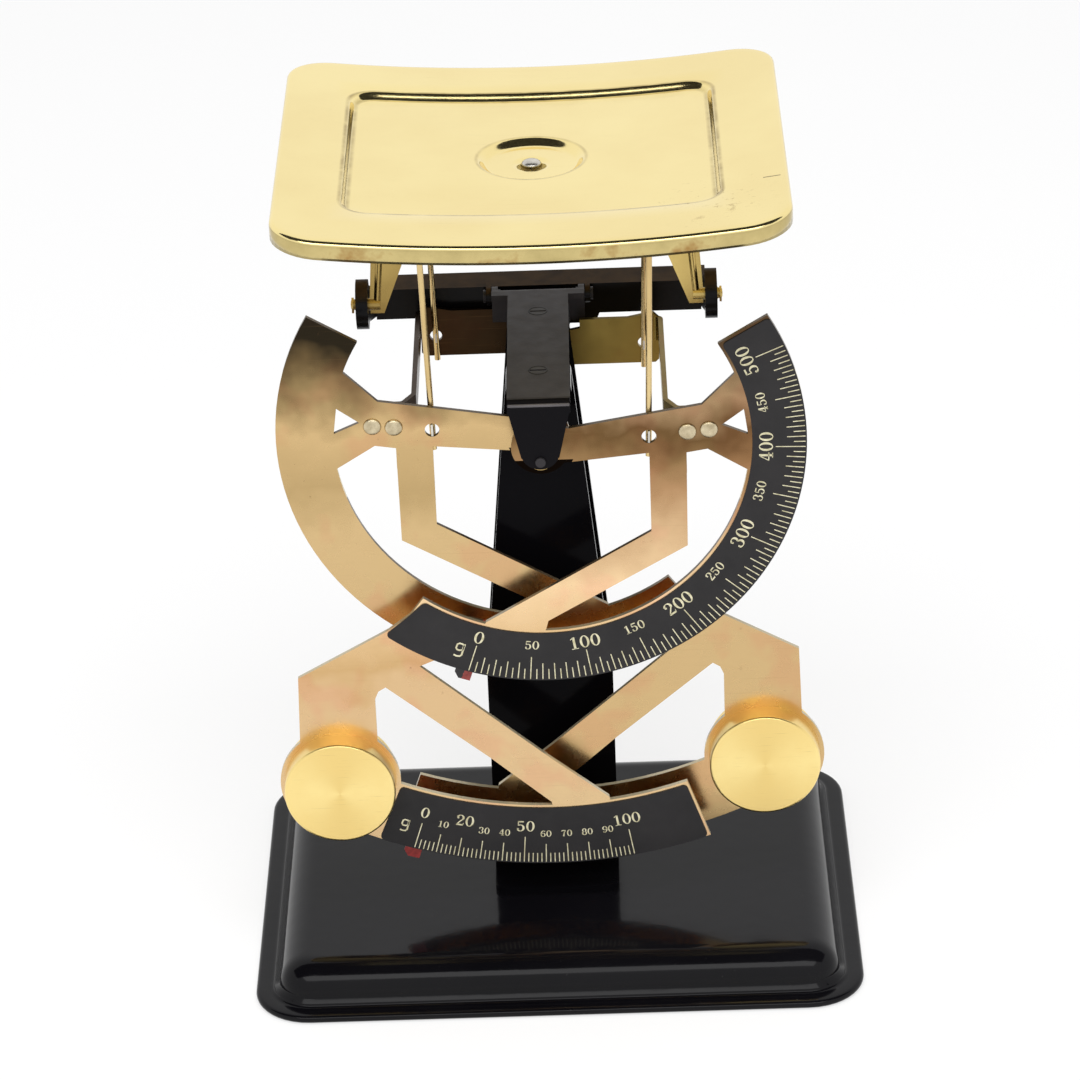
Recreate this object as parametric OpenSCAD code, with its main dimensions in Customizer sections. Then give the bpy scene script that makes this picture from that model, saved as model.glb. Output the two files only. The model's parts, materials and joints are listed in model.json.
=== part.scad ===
// Letter balance: two mirrored levers on one pivot line, a hinged guide yoke and a concave pan.
// Lengths are in mm. +Z is up, +X is right and the front faces -Y.
// Plate outlines are given from the pivot, and angles from straight down, positive to the right.

/* [Base] */
// Width of the base over its rim
base_w = 149.5; // [135:0.5:170]
// Depth of the base over its rim
base_d = 114; // [100:0.5:120]
// Height of the raised top above the table
base_h = 11; // [9:0.5:15]
// Corner radius of the rim
base_corner_r = 14; // [12:0.5:18]
// Width of the flat rim around the raised part
rim_w = 4.7; // [3.5:0.1:6]
// Thickness of the folded rim
rim_t = 2; // [1.5:0.1:3]
// Sheet thickness of the base
base_sheet = 1; // [0.8:0.1:1.4]
// Radius of the edge around the raised top
base_edge_r = 5; // [3:0.1:6]
// How far the wall leans in over its height
base_draft = 1.2; // [0.5:0.1:2]

/* [Column] */
// Width of the column straps at the foot
column_foot_w = 31; // [28:0.5:36]
// Width of the column straps at the head
column_head_w = 15.2; // [12:0.2:17]
// Height of the straight lower part of the column
column_straight_h = 56; // [40:1:70]
// Depth of the column from front face to rear face
column_depth = 21; // [18:0.5:24]
// Length of the head and foot flanges
column_flange = 12.4; // [11:0.1:13.5]
// Sheet thickness of the column and the bracket
strap_t = 1.5; // [1.2:0.1:1.8]
// Inside radius of the strap bends
bend_r = 1; // [0.6:0.1:1.5]
// Corner radius of the foot flanges
foot_corner_r = 3.5; // [2:0.5:5]
// Sideways distance between the foot rivets
foot_rivet_pitch = 18; // [14:1:22]
// Radius of the foot rivets
foot_rivet_r = 1.5; // [1.2:0.1:2]

/* [Top bracket] */
// Height of the pivot line above the table
pivot_h = 137; // [132:0.5:142]
// Height of the bracket top above the pivot line
bracket_rise = 15.7; // [15.2:0.1:17]
// Width of the bracket strap
bracket_w = 14.8; // [13:0.2:16]
// Width of the cross head at the rear of the bracket
cross_head_w = 22.8; // [21:0.2:24]
// Depth of the cross head
cross_head_d = 5.1; // [4.5:0.1:6]
// Half width of the tongue at its rounded end
tongue_r = 4.6; // [4:0.1:5.2]
// Radius of the bracket screws
screw_r = 1.25; // [1:0.05:1.5]
// Radius of the countersunk screw heads
screw_head_r = 2.2; // [1.9:0.05:2.5]

/* [Levers] */
// Sheet thickness of the lever plates and yoke strips
plate_t = 1.2; // [1:0.1:1.4]
// Distance from the front of the right plate to the front of the left plate
plate_step = 7.2; // [7:0.1:7.5]
// Outer radius of the large ring
ring_r = 63; // [62:0.5:64]
// Width of the large ring
ring_w = 13.6; // [12:0.2:14]
// Angle of the ring's upper end
ring_end_a = 121; // [116:1:124]
// Outer radius of the lower strip
strip_r = 115; // [114:0.5:116]
// Width of the lower strip
strip_w = 16.5; // [15:0.5:18]
// Angle of the lower strip's free end
strip_end_a = 19.5; // [17:0.5:21]

/* [Pivots] */
// Radius of the pivot pins
pin_r = 1; // [0.8:0.05:1.2]
// Running clearance of the bushes on their pins
running = 0.04; // [0.02:0.01:0.08]
// Outer radius of the bushes
bush_r = 3; // [2.6:0.1:3.4]
// Side clearance between turning pieces
side_gap = 0.15; // [0.1:0.05:0.2]

/* [Knives and stirrups] */
// Sideways distance from the pivot to the knife holes
knife_x = 25.7; // [25:0.1:26]
// Height of the knife holes above the pivot
knife_z = 1.9; // [1:0.1:3]
// Radius of the front knife holes
front_hole_r = 1.75; // [1.65:0.05:2]
// Radius of the rear knife holes
rear_hole_r = 1.5; // [1.4:0.05:1.8]
// Thickness of the knife blades
knife_t = 0.5; // [0.3:0.05:0.7]
// Diameter of the stirrup wire
wire_d = 1.45; // [1.2:0.05:1.6]
// Height of the stirrup from the knife to the top bar
stirrup_h = 54; // [50:0.5:54.5]
// Outward lean of the stirrups at rest
stirrup_lean = 1.4; // [0:0.2:1.8]

/* [Weights] */
// Diameter of the weight discs
weight_d = 27.2; // [25:0.2:28]
// Thickness of the front weight discs
weight_front_t = 5.7; // [5:0.1:5.8]
// Thickness of the rear weight discs
weight_rear_t = 4.6; // [4:0.1:5]
// Sideways distance from the pivot to the weights
weight_x = 52.2; // [51:0.1:53]
// Distance of the weights below the pivot
weight_drop = 90.1; // [89:0.1:91]

/* [Dials and pointers] */
// Thickness of the dial faces
dial_t = 0.3; // [0.2:0.05:0.4]
// Brass border left inside each dial
dial_border = 0.7; // [0.4:0.1:1.2]
// Angle of both pointers
pointer_a = -18; // [-20:0.5:-16]
// Sheet thickness of the pointers
pointer_t = 0.6; // [0.4:0.1:0.7]

/* [Guide yoke] */
// Width of the yoke between its side arms
yoke_w = 80.6; // [80.2:0.2:84]
// Distance of the yoke hinge behind the bracket's rear flange
hinge_back = 1.85; // [1.7:0.05:2.4]
// Height of the yoke hinge above the pivot line
hinge_rise = 12.5; // [12:0.1:13]
// Radius of the pan pivots
ear_pin_r = 1.45; // [1.2:0.05:1.6]
// Radius of the round ears
ear_r = 6; // [5:0.2:6.4]
// Height of the ears above the pivot line
ear_rise = 24.9; // [24:0.1:26]

/* [Pan] */
// Width of the pan
pan_w = 119; // [112:1:124]
// Depth of the pan
pan_d = 110; // [104:1:116]
// Sheet thickness of the pan
pan_t = 0.8; // [0.6:0.1:0.9]
// Radius of the pan's hollow curve across its width
pan_curve_r = 430; // [380:10:600]
// Height of the middle of the pan's rim above the pivot line
pan_rise = 63; // [62.5:0.5:66]
// Depth of the turned-down lip
lip_d = 4.5; // [3.5:0.1:5.5]
// Corner radius of the pan
pan_corner_r = 11; // [8:0.5:14]
// Width of the sunk panel
panel_w = 88.2; // [80:0.2:94]
// Depth of the sunk panel
panel_d = 74; // [66:1:80]
// How far the panel and the middle dimple are each pressed down
press_d = 1.6; // [1.2:0.1:1.8]
// Diameter of the middle dimple
dimple_d = 26; // [22:1:30]
// Distance from the column's middle to the pan's middle
pan_back = 3.8; // [2:0.1:5]

/* [Hidden] */
$fn = 64;

black = [0.05, 0.05, 0.06];
grey = [0.28, 0.27, 0.28];
brass = [0.86, 0.72, 0.5];
gold = [0.88, 0.78, 0.45];
silver = [0.75, 0.75, 0.74];
red = [0.65, 0.16, 0.16];

// Depths of the layers, from the front of the base frame
column_mid_y = 5.2;
column_front_y = column_mid_y - column_depth / 2;
tongue_y = -28.8;
right_front_y = -21;
left_front_y = right_front_y + plate_step;
right_arm_y = 31.4;
rear_flange_y = 36.65;
left_arm_y = rear_flange_y + 2.55;
hinge_y = rear_flange_y + hinge_back;
web_y = left_arm_y + plate_t + 1.6;
pan_y = column_mid_y + pan_back;
// The frame's origin lies under the middle of the whole balance
origin_y = -(pan_y + pan_d / 2 - base_d / 2) / 2;

head_z = pivot_h + bracket_rise - strap_t;
bend_mid_r = bend_r + strap_t / 2;
foot_rivet_y = column_front_y - column_flange / 2;
screw_y = [column_front_y - column_flange / 2, column_front_y + column_depth + column_flange / 2];
ring_in_r = ring_r - ring_w;
strip_in_r = strip_r - strip_w;
weight_at = [-weight_x, -weight_drop];
lobe_r = weight_d / 2 + 1.2;
weight_stem_r = 2;
strip_inner_x = 29.3;
strap_rivets = [[34.8, 2.9], [39.9, 3.3]];
rivet_r = 1.1;
rivet_head_r = 2.25;
rivet_head_h = 0.9;
lean_room = 0.175;
small = 0.01;

function side(d) = [-d.y, d.x];
function unit(v) = v / norm(v);
function turned(v, a) = [v.x * cos(a) - v.y * sin(a), v.x * sin(a) + v.y * cos(a)];
function polar(r, a) = [r * sin(a), -r * cos(a)];
function rising(v) = [for (i = [len(v) - 1:-1:0]) v[i]];

// Points and directions along a bend of a strip's middle line
function bend_steps(p0, p1, p2, r, n = 6) =
    let (d0 = unit(p1 - p0),
        d1 = unit(p2 - p1),
        s = sign(d0.x * d1.y - d0.y * d1.x),
        a = acos(d0 * d1),
        start = p1 - d0 * r * tan(a / 2),
        centre = start + s * r * side(d0))
    [for (i = [0:n]) let (d = turned(d0, s * a * i / n)) [centre - s * r * side(d), d]];

function strip_line(p, r) =
    concat([[p[0], unit(p[1] - p[0])]],
        [for (i = [1:len(p) - 2]) each bend_steps(p[i - 1], p[i], p[i + 1], r)],
        [[p[len(p) - 1], unit(p[len(p) - 1] - p[len(p) - 2])]]);

// A bent strip of sheet seen on edge
module strip_edge(points, t, r) {
    line = strip_line(points, r);
    left = [for (s = line) s[0] + t / 2 * side(s[1])];
    right = [for (s = line) s[0] - t / 2 * side(s[1])];
    polygon(concat(left, rising(right)));
}

module along_x(x0, x1) {
    translate([x0, 0, 0]) rotate([90, 0, 90]) linear_extrude(x1 - x0) children();
}

module along_y(y0, y1) {
    translate([0, y1, 0]) rotate([90, 0, 0]) linear_extrude(y1 - y0) children();
}

module y_rod(y0, y1, r) {
    translate([0, y1, 0]) rotate([90, 0, 0]) cylinder(h = y1 - y0, r = r);
}

module x_rod(x0, x1, r) {
    translate([x0, 0, 0]) rotate([0, 90, 0]) cylinder(h = x1 - x0, r = r);
}

module at_pivot() {
    translate([0, 0, pivot_h]) children();
}

module mirrored(left) {
    mirror([left ? 1 : 0, 0, 0]) children();
}

module rounded_rect(w, d, r) {
    square([w - 2 * r, d], center = true);
    square([w, d - 2 * r], center = true);
    for (x = [-1, 1], y = [-1, 1]) translate([x * (w / 2 - r), y * (d / 2 - r)]) circle(r);
}

module ring_sector(r_in, r_out, a0, a1) {
    far = 2 * r_out;
    steps = ceil((a1 - a0) / 45);
    intersection() {
        difference() {
            circle(r_out, $fn = 180);
            circle(r_in, $fn = 180);
        }
        polygon(concat([[0, 0]], [for (i = [0:steps]) polar(far, a0 + (a1 - a0) * i / steps)]));
    }
}

// A domed rivet head that rises from z = 0
module dome(r, h) {
    ball_r = (r * r + h * h) / (2 * h);
    intersection() {
        translate([0, 0, h - ball_r]) sphere(ball_r);
        cylinder(h = h, r = r);
    }
}

// BASE AND COLUMN

module base_profile() {
    top = [rim_w + base_draft + base_edge_r, base_h - base_edge_r];
    translate([rim_t / 2, rim_t / 2]) circle(rim_t / 2);
    translate([rim_t / 2, 0]) square([rim_w + base_sheet - rim_t / 2, rim_t]);
    difference() {
        polygon([[rim_w, 0], [rim_w, rim_t], [rim_w + base_draft, top.y], [top.x, top.y], [top.x, 0]]);
        polygon([[rim_w + base_sheet, -1], [rim_w + base_sheet, rim_t - base_sheet],
            [rim_w + base_draft + base_sheet, top.y], [top.x + 1, top.y + 1], [top.x + 1, -1]]);
    }
    intersection() {
        translate(top) difference() {
            circle(base_edge_r);
            circle(base_edge_r - base_sheet);
        }
        translate([top.x - base_edge_r, top.y]) square(base_edge_r);
    }
}

module base_run(length, reach) {
    translate([0, -reach, 0]) along_x(-length / 2, length / 2) base_profile();
}

module base_shell() {
    inset = rim_w + base_draft + base_edge_r;
    color(black) difference() {
        union() {
            for (a = [0, 180]) rotate([0, 0, a]) base_run(base_w - 2 * base_corner_r, base_d / 2);
            for (a = [90, 270]) rotate([0, 0, a]) base_run(base_d - 2 * base_corner_r, base_w / 2);
            for (x = [-1, 1], y = [-1, 1])
                translate([x * (base_w / 2 - base_corner_r), y * (base_d / 2 - base_corner_r), 0])
                    rotate([0, 0, atan2(y, x) - 45])
                        rotate_extrude(angle = 90)
                            translate([base_corner_r, 0]) mirror([1, 0]) base_profile();
            translate([0, 0, base_h - base_sheet]) linear_extrude(base_sheet)
                rounded_rect(base_w - 2 * inset, base_d - 2 * inset, base_corner_r - inset);
        }
        foot_rivet_places() cylinder(h = 3 * base_h, r = foot_rivet_r, center = true);
    }
}

module foot_rivet_places() {
    for (x = [-1, 1], y = [foot_rivet_y, 2 * column_mid_y - foot_rivet_y])
        translate([x * foot_rivet_pitch / 2, y, 0]) children();
}

module foot_rivets() {
    color(black) foot_rivet_places() {
        translate([0, 0, base_h - base_sheet]) cylinder(h = base_sheet + strap_t, r = foot_rivet_r);
        translate([0, 0, base_h - base_sheet]) mirror([0, 0, 1]) dome(2 * foot_rivet_r, foot_rivet_r);
    }
}

// One bent strap of the column, with its flanges turned to the front
module column_strap() {
    mid_y = column_front_y + strap_t / 2;
    flange_y = column_front_y - column_flange;
    taper_z = base_h + column_straight_h;
    difference() {
        intersection() {
            along_x(-column_foot_w, column_foot_w)
                strip_edge([[flange_y, head_z - strap_t / 2], [mid_y, head_z - strap_t / 2],
                    [mid_y, base_h + strap_t / 2], [flange_y, base_h + strap_t / 2]], strap_t, bend_mid_r);
            along_y(-base_d, base_d)
                polygon([[-column_foot_w / 2, 0], [column_foot_w / 2, 0], [column_foot_w / 2, taper_z],
                    [column_head_w / 2, head_z], [-column_head_w / 2, head_z], [-column_foot_w / 2, taper_z]]);
            translate([0, flange_y + base_d / 2, 0]) linear_extrude(2 * pivot_h)
                rounded_rect(column_foot_w, base_d, foot_corner_r);
        }
        foot_rivet_places() cylinder(h = 3 * base_h, r = foot_rivet_r);
        translate([0, screw_y[0], head_z]) cylinder(h = 4 * strap_t, r = screw_r, center = true);
    }
}

module column_front() {
    color(black) difference() {
        column_strap();
        at_pivot() y_rod(column_front_y - 1, column_front_y + strap_t + 1, pin_r);
    }
}

module column_rear() {
    color(black) translate([0, 2 * column_mid_y, 0]) mirror([0, 1, 0]) column_strap();
}

// TOP BRACKET

module tongue_outline() {
    shoulder = 12.5;
    polygon([[-bracket_w / 2, 2 * bracket_rise], [-bracket_w / 2, shoulder], [-7.1, shoulder],
        [-tongue_r * 0.97, 1], [tongue_r * 0.97, 1], [7.1, shoulder], [bracket_w / 2, shoulder],
        [bracket_w / 2, 2 * bracket_rise]]);
    translate([0, tongue_r - 2]) circle(tongue_r);
}

module rear_flange_outline() {
    step_z = 6.9;
    polygon([[-cross_head_w / 2, 2 * bracket_rise], [-cross_head_w / 2, step_z], [-tongue_r - 1.5, step_z],
        [-tongue_r, 0], [tongue_r, 0], [tongue_r + 1.5, step_z], [cross_head_w / 2, step_z],
        [cross_head_w / 2, 2 * bracket_rise]]);
    circle(tongue_r);
}

// A hinge knuckle in the plane across X, from a rear or front edge to the hinge axis
module knuckle(from_y, x0, x1, hole) {
    knuckle_r = 2.3;
    difference() {
        union() {
            along_x(x0, x1) translate([min(from_y, hinge_y), hinge_rise - knuckle_r])
                square([abs(hinge_y - from_y), 2 * knuckle_r]);
            translate([0, hinge_y, hinge_rise]) x_rod(x0, x1, knuckle_r);
        }
        translate([0, hinge_y, hinge_rise]) x_rod(x0 - 1, x1 + 1, hole);
    }
}

module top_bracket() {
    top = bracket_rise - strap_t / 2;
    low = -2 * tongue_r;
    front_mid = tongue_y + strap_t / 2;
    rear_mid = rear_flange_y - strap_t / 2;
    head_y = rear_flange_y - cross_head_d;
    color(grey) at_pivot() difference() {
        union() {
            intersection() {
                along_x(-cross_head_w / 2, cross_head_w / 2)
                    strip_edge([[front_mid, low], [front_mid, top], [rear_mid, top], [rear_mid, low]],
                        strap_t, bend_mid_r);
                union() {
                    along_y(tongue_y - 1, tongue_y + 2 * bend_mid_r) tongue_outline();
                    along_y(tongue_y + 2 * bend_mid_r, head_y)
                        translate([-bracket_w / 2, 0]) square([bracket_w, 2 * bracket_rise]);
                    along_y(head_y, rear_flange_y + 1) rear_flange_outline();
                }
            }
            for (s = [false, true]) mirrored(s)
                knuckle(rear_flange_y - small, cross_head_w / 2 - strap_t, cross_head_w / 2, pin_r);
        }
        y_rod(tongue_y - 1, tongue_y + strap_t + 1, pin_r);
        y_rod(rear_flange_y - strap_t - 1, rear_flange_y + 1, pin_r);
        for (y = screw_y) translate([0, y, bracket_rise]) screw_shape(strap_t + 1);
    }
}

// Countersunk head and shank that hang down from z = 0
module screw_shape(length) {
    head_h = screw_head_r - screw_r;
    translate([0, 0, -head_h]) cylinder(h = head_h, r1 = screw_r, r2 = screw_head_r);
    translate([0, 0, -length]) cylinder(h = length, r = screw_r);
}

module bracket_screws() {
    length = 2 * strap_t + 2.6;
    slot_w = 0.6;
    color(grey) at_pivot() for (y = screw_y) translate([0, y, bracket_rise]) difference() {
        screw_shape(length);
        translate([-screw_head_r - 1, -slot_w / 2, -slot_w]) cube([2 * screw_head_r + 2, slot_w, 1]);
    }
}

module bracket_nuts() {
    nut_h = 2;
    nut_r = 2.9;
    color(grey) at_pivot() for (y = screw_y) translate([0, y, bracket_rise - 2 * strap_t - nut_h]) difference() {
        cylinder(h = nut_h, r = nut_r, $fn = 6);
        translate([0, 0, -1]) cylinder(h = nut_h + 2, r = screw_r);
    }
}

// PIVOT PINS AND BUSHES

module pivot_pin(y0, y1, front_head_r, rear_head_r) {
    head_h = 0.6;
    y_rod(y0, y1, pin_r);
    y_rod(y0 - head_h, y0, front_head_r);
    y_rod(y1, y1 + head_h, rear_head_r);
}

module front_pivot_pin() {
    color(silver) at_pivot() pivot_pin(tongue_y, column_front_y + strap_t, pin_r + 0.2, pin_r + 0.7);
}

module rear_pivot_pin() {
    color(silver) at_pivot()
        pivot_pin(right_arm_y - 1 - side_gap, left_arm_y + plate_t + 0.9, pin_r + 0.7, pin_r + 0.7);
}

// A bush from y0 to y1 that is shouldered behind a plate whose front face is at plate_y
module bush(y0, y1, plate_y) {
    shoulder_r = bush_r + 1.2;
    shoulder_t = 0.8;
    color(brass) at_pivot() difference() {
        union() {
            y_rod(y0, y1, bush_r);
            y_rod(plate_y + plate_t, plate_y + plate_t + shoulder_t, shoulder_r);
        }
        y_rod(y0 - 1, y1 + 1, pin_r + running);
    }
}

bush_split_y = right_front_y + plate_t + 2.9;

module right_front_bush() {
    bush(tongue_y + strap_t + side_gap, bush_split_y - side_gap / 2, right_front_y);
}

module left_front_bush() {
    bush(bush_split_y + side_gap / 2, column_front_y - side_gap, left_front_y);
}

module right_rear_bush() {
    bush(right_arm_y - 1, rear_flange_y - strap_t - side_gap, right_arm_y);
}

module left_rear_bush() {
    bush(rear_flange_y + side_gap, left_arm_y + plate_t + 0.9 - side_gap, left_arm_y);
}

// LEVERS, drawn as the right one; the left one is its mirror image

module arm_outline() {
    polygon([[0, 5.5], [6.8, 4.7], [25.8, 7.8], [38.3, 9.8], [46, 17.5], [50, 21.5], polar(ring_r - 2, 100),
        polar(ring_r - 2, 84), [52.5, -9.9], [48.7, -7.5], [39.5, -1.8], [34.5, -2.6], [34.5, -8], [25.7, -8],
        [25.7, -2.4], [4.2, -4.4], [0, -5]]);
}

module diagonal_outline() {
    polygon([[25.7, -2.4], [34.5, -2.6], [34.3, -27.4], [0.3, -46.8], [-1, -51.5], [-17, -51.5],
        [-14.8, -46.7], [25.7, -23.3]]);
}

module leg_outline() {
    shoulder = [-61, -60.6];
    polygon([[-28.6, -40.7], [-38.4, -48.1], shoulder, [-61.8, -86], [-42.6, -86], [-42.6, -67],
        [-41.7, -64.9], [-39.9, -63.8], [-15.3, -84.4], [-0.6, -97.6], [0, -100.5], [14.5, -100.5], [13.6, -96.6],
        [-0.4, -85.1], [-31.35, -58.25], [-27.5, -56.6], [-25, -50]]);
}

module plate_holes() {
    polygon([[42.9, 4.4], [48.2, 8.3], [49.1, 1.7]]);
    circle(bush_r);
    translate([knife_x, knife_z]) circle(front_hole_r);
    for (p = strap_rivets) translate(p) circle(rivet_r);
    translate(weight_at) circle(weight_stem_r);
}

module lever_plate(front_y) {
    back_y = front_y + plate_t;
    difference() {
        union() {
            along_y(front_y, back_y) ring_sector(ring_in_r, ring_r, -36.8, ring_end_a);
            along_y(front_y, back_y) ring_sector(strip_in_r, strip_r, -24, strip_end_a);
            along_y(front_y, back_y) circle(bush_r + 4);
            along_y(front_y, back_y) arm_outline();
            along_y(front_y, back_y) diagonal_outline();
            along_y(front_y, back_y) leg_outline();
            along_y(front_y, back_y) translate(weight_at) circle(lobe_r);
        }
        along_y(front_y - 1, back_y + 1) plate_holes();
    }
}

// The strip that joins a plate to its rear arm
module yoke_strip(front_y, arm_y) {
    flange_y = front_y + plate_t * 1.5;
    side_x = strip_inner_x + plate_t / 2;
    side_low = 2.5;
    side_high = 8.6;
    difference() {
        union() {
            translate([0, 0, side_low]) linear_extrude(side_high - side_low)
                strip_edge([[43, flange_y], [32.4, flange_y], [side_x, flange_y + 4.6],
                    [side_x, arm_y + plate_t / 2], [10, arm_y + plate_t / 2]], plate_t, plate_t * 1.2);
            along_y(flange_y - plate_t / 2, flange_y + plate_t / 2)
                polygon([[33.6, -1.2], [42, -0.8], [43, 0.2], [43, 7.4], [42, 8.4], [33.6, 8.6]]);
            along_y(arm_y, arm_y + plate_t) {
                circle(bush_r + 3.5);
                polygon([[0, 6.5], [7.6, 5.8], [25.8, 9.4], [28.2, 9.8], [29.4, 8.6], [29.4, -2.6], [28.5, -3.5],
                    [0, -3.5]]);
            }
        }
        y_rod(arm_y - 1, arm_y + plate_t + 1, bush_r);
        translate([knife_x, 0, knife_z]) y_rod(arm_y - 1, arm_y + plate_t + 1, rear_hole_r);
        for (p = strap_rivets) translate([p.x, 0, p.y]) y_rod(front_y, flange_y + plate_t, rivet_r);
    }
}

module domed_rivet(front_y, thickness) {
    y_rod(front_y, front_y + thickness, rivet_r);
    translate([0, front_y, 0]) rotate([90, 0, 0]) dome(rivet_head_r, rivet_head_h);
    translate([0, front_y + thickness, 0]) rotate([-90, 0, 0]) dome(rivet_r + 0.4, rivet_head_h / 2);
}

module strap_rivet_pair(front_y) {
    for (p = strap_rivets) translate([p.x, 0, p.y]) domed_rivet(front_y, 2 * plate_t);
}

// A turned disc with eased edges whose seat is at y = 0 and whose face looks to -Y
module weight_disc(t) {
    ease = 0.7;
    rotate([90, 0, 0]) rotate_extrude($fn = 90) {
        square([weight_d / 2 - ease, t]);
        square([weight_d / 2, t - ease]);
        translate([weight_d / 2 - ease, t - ease]) circle(ease);
    }
}

module weight_place() {
    translate([weight_at.x, 0, weight_at.y]) children();
}

module weight_stem(front_y) {
    y_rod(front_y - weight_front_t / 2, front_y + plate_t + weight_rear_t, weight_stem_r);
}

module weight_front(front_y) {
    weight_place() difference() {
        translate([0, front_y, 0]) weight_disc(weight_front_t);
        weight_stem(front_y);
    }
}

module weight_rear(front_y) {
    weight_place() difference() {
        translate([0, front_y + plate_t, 0]) mirror([0, 1, 0]) weight_disc(weight_rear_t);
        weight_stem(front_y);
    }
}

module weight_rivet(front_y) {
    weight_place() weight_stem(front_y);
}

module left_plate() {
    color(brass) at_pivot() mirrored(true) lever_plate(left_front_y);
}

module left_yoke_strip() {
    color(brass) at_pivot() mirrored(true) yoke_strip(left_front_y, left_arm_y);
}

module left_rivets() {
    color(silver) at_pivot() mirrored(true) strap_rivet_pair(left_front_y);
}

module left_weight_front() {
    color(gold) at_pivot() mirrored(true) weight_front(left_front_y);
}

module left_weight_rear() {
    color(gold) at_pivot() mirrored(true) weight_rear(left_front_y);
}

module left_weight_rivet() {
    color(silver) at_pivot() mirrored(true) weight_rivet(left_front_y);
}

module right_plate() {
    color(brass) at_pivot() lever_plate(right_front_y);
}

module right_yoke_strip() {
    color(brass) at_pivot() yoke_strip(right_front_y, right_arm_y);
}

module right_rivets() {
    color(silver) at_pivot() strap_rivet_pair(right_front_y);
}

module right_weight_front() {
    color(gold) at_pivot() weight_front(right_front_y);
}

module right_weight_rear() {
    color(gold) at_pivot() weight_rear(right_front_y);
}

module right_weight_rivet() {
    color(silver) at_pivot() weight_rivet(right_front_y);
}

// DIALS AND POINTERS

module upper_dial() {
    color(black) at_pivot() along_y(right_front_y - dial_t, right_front_y)
        ring_sector(ring_in_r + dial_border, ring_r - small, -36.2, ring_end_a - 0.5);
}

module lower_dial() {
    color(black) at_pivot() along_y(right_front_y - dial_t, right_front_y)
        ring_sector(strip_in_r + dial_border, strip_r - small, -22.2, strip_end_a - 0.3);
}

// A stepped strip from the left plate out to just behind the right plate
module pointer(angle, foot_r, step_r, tip_r, w) {
    foot_y = left_front_y - pointer_t / 2;
    tip_y = right_front_y + plate_t + 0.4 + pointer_t / 2;
    rotate([0, -angle, 0]) difference() {
        intersection() {
            along_x(-w / 2, w / 2)
                strip_edge([[foot_y, -foot_r], [foot_y, -step_r], [tip_y, -step_r], [tip_y, -tip_r]],
                    pointer_t, pointer_t);
            along_y(tip_y - 1, foot_y + 1)
                polygon([[-w / 2, 0], [w / 2, 0], [w / 2, -tip_r], [-w / 5, -tip_r], [-w / 2, -tip_r + w / 3]]);
        }
        pointer_rivet_place(foot_r) y_rod(foot_y - 1, foot_y + 1, rivet_r / 2);
    }
}

module pointer_rivet_place(foot_r) {
    translate([0, 0, -foot_r - 2]) children();
}

upper_foot_r = ring_in_r + 3;
lower_foot_r = strip_in_r + 4;

module upper_pointer() {
    color(red) at_pivot() pointer(pointer_a - 0.8, upper_foot_r, ring_r - 2, ring_r + 3.4, 4.2);
}

module lower_pointer() {
    color(red) at_pivot() pointer(pointer_a + 0.3, lower_foot_r, strip_r - 2, strip_r + 3.6, 4.2);
}

module pointer_rivets() {
    color(silver) at_pivot() {
        rotate([0, 0.8 - pointer_a, 0]) pointer_rivet_place(upper_foot_r)
            y_rod(left_front_y - pointer_t, left_front_y, rivet_r / 2);
        rotate([0, -0.3 - pointer_a, 0]) pointer_rivet_place(lower_foot_r)
            y_rod(left_front_y - pointer_t, left_front_y, rivet_r / 2);
    }
}

// STIRRUPS AND KNIVES, drawn as the right pair

module stirrup_place() {
    translate([knife_x, 0, knife_z]) rotate([0, stirrup_lean, 0]) children();
}

module knife_pair(front_y, arm_y) {
    front_h = 3;
    rear_h = 2.4;
    out = 0.3;
    stirrup_place() {
        translate([-knife_t / 2, front_y - out, -front_h / 2])
            cube([knife_t, plate_t + lean_room + wire_d + out, front_h]);
        translate([-knife_t / 2, arm_y - lean_room - wire_d, -rear_h / 2])
            cube([knife_t, plate_t + lean_room + wire_d + out, rear_h]);
    }
}

module stirrup(front_y, arm_y) {
    y0 = front_y + plate_t + lean_room + wire_d / 2;
    y1 = arm_y - lean_room - wire_d / 2;
    corner_r = 3;
    tail = 6;
    difference() {
        stirrup_place() {
            for (y = [y0, y1]) translate([0, y, -tail])
                cylinder(h = stirrup_h + tail - corner_r, r = wire_d / 2);
            translate([0, 0, stirrup_h]) y_rod(y0 + corner_r, y1 - corner_r, wire_d / 2);
            translate([0, y0 + corner_r, stirrup_h - corner_r]) rotate([0, 90, 0]) rotate([0, 0, 180])
                rotate_extrude(angle = 90) translate([corner_r, 0]) circle(wire_d / 2);
            translate([0, y1 - corner_r, stirrup_h - corner_r]) rotate([0, 90, 0]) rotate([0, 0, 90])
                rotate_extrude(angle = 90) translate([corner_r, 0]) circle(wire_d / 2);
        }
        knife_pair(front_y, arm_y);
    }
}

module left_stirrup() {
    color(gold) at_pivot() mirrored(true) stirrup(left_front_y, left_arm_y);
}

module left_knives() {
    color(silver) at_pivot() mirrored(true) knife_pair(left_front_y, left_arm_y);
}

module right_stirrup() {
    color(gold) at_pivot() stirrup(right_front_y, right_arm_y);
}

module right_knives() {
    color(silver) at_pivot() knife_pair(right_front_y, right_arm_y);
}

// GUIDE YOKE

yoke_t = 1.2;
web_top = hinge_rise + 1;
knuckle_gap = 0.2;

module side_arm_outline() {
    translate([pan_y, ear_rise]) circle(ear_r);
    polygon([[pan_y + 1.6, ear_rise + 4.4], [web_y, web_top + 0.4], [web_y + 9, web_top], [web_y + 9, web_top - 5],
        [web_y + 2, 5.5], [pan_y - 1.2, ear_rise - 4.2]]);
}

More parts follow.
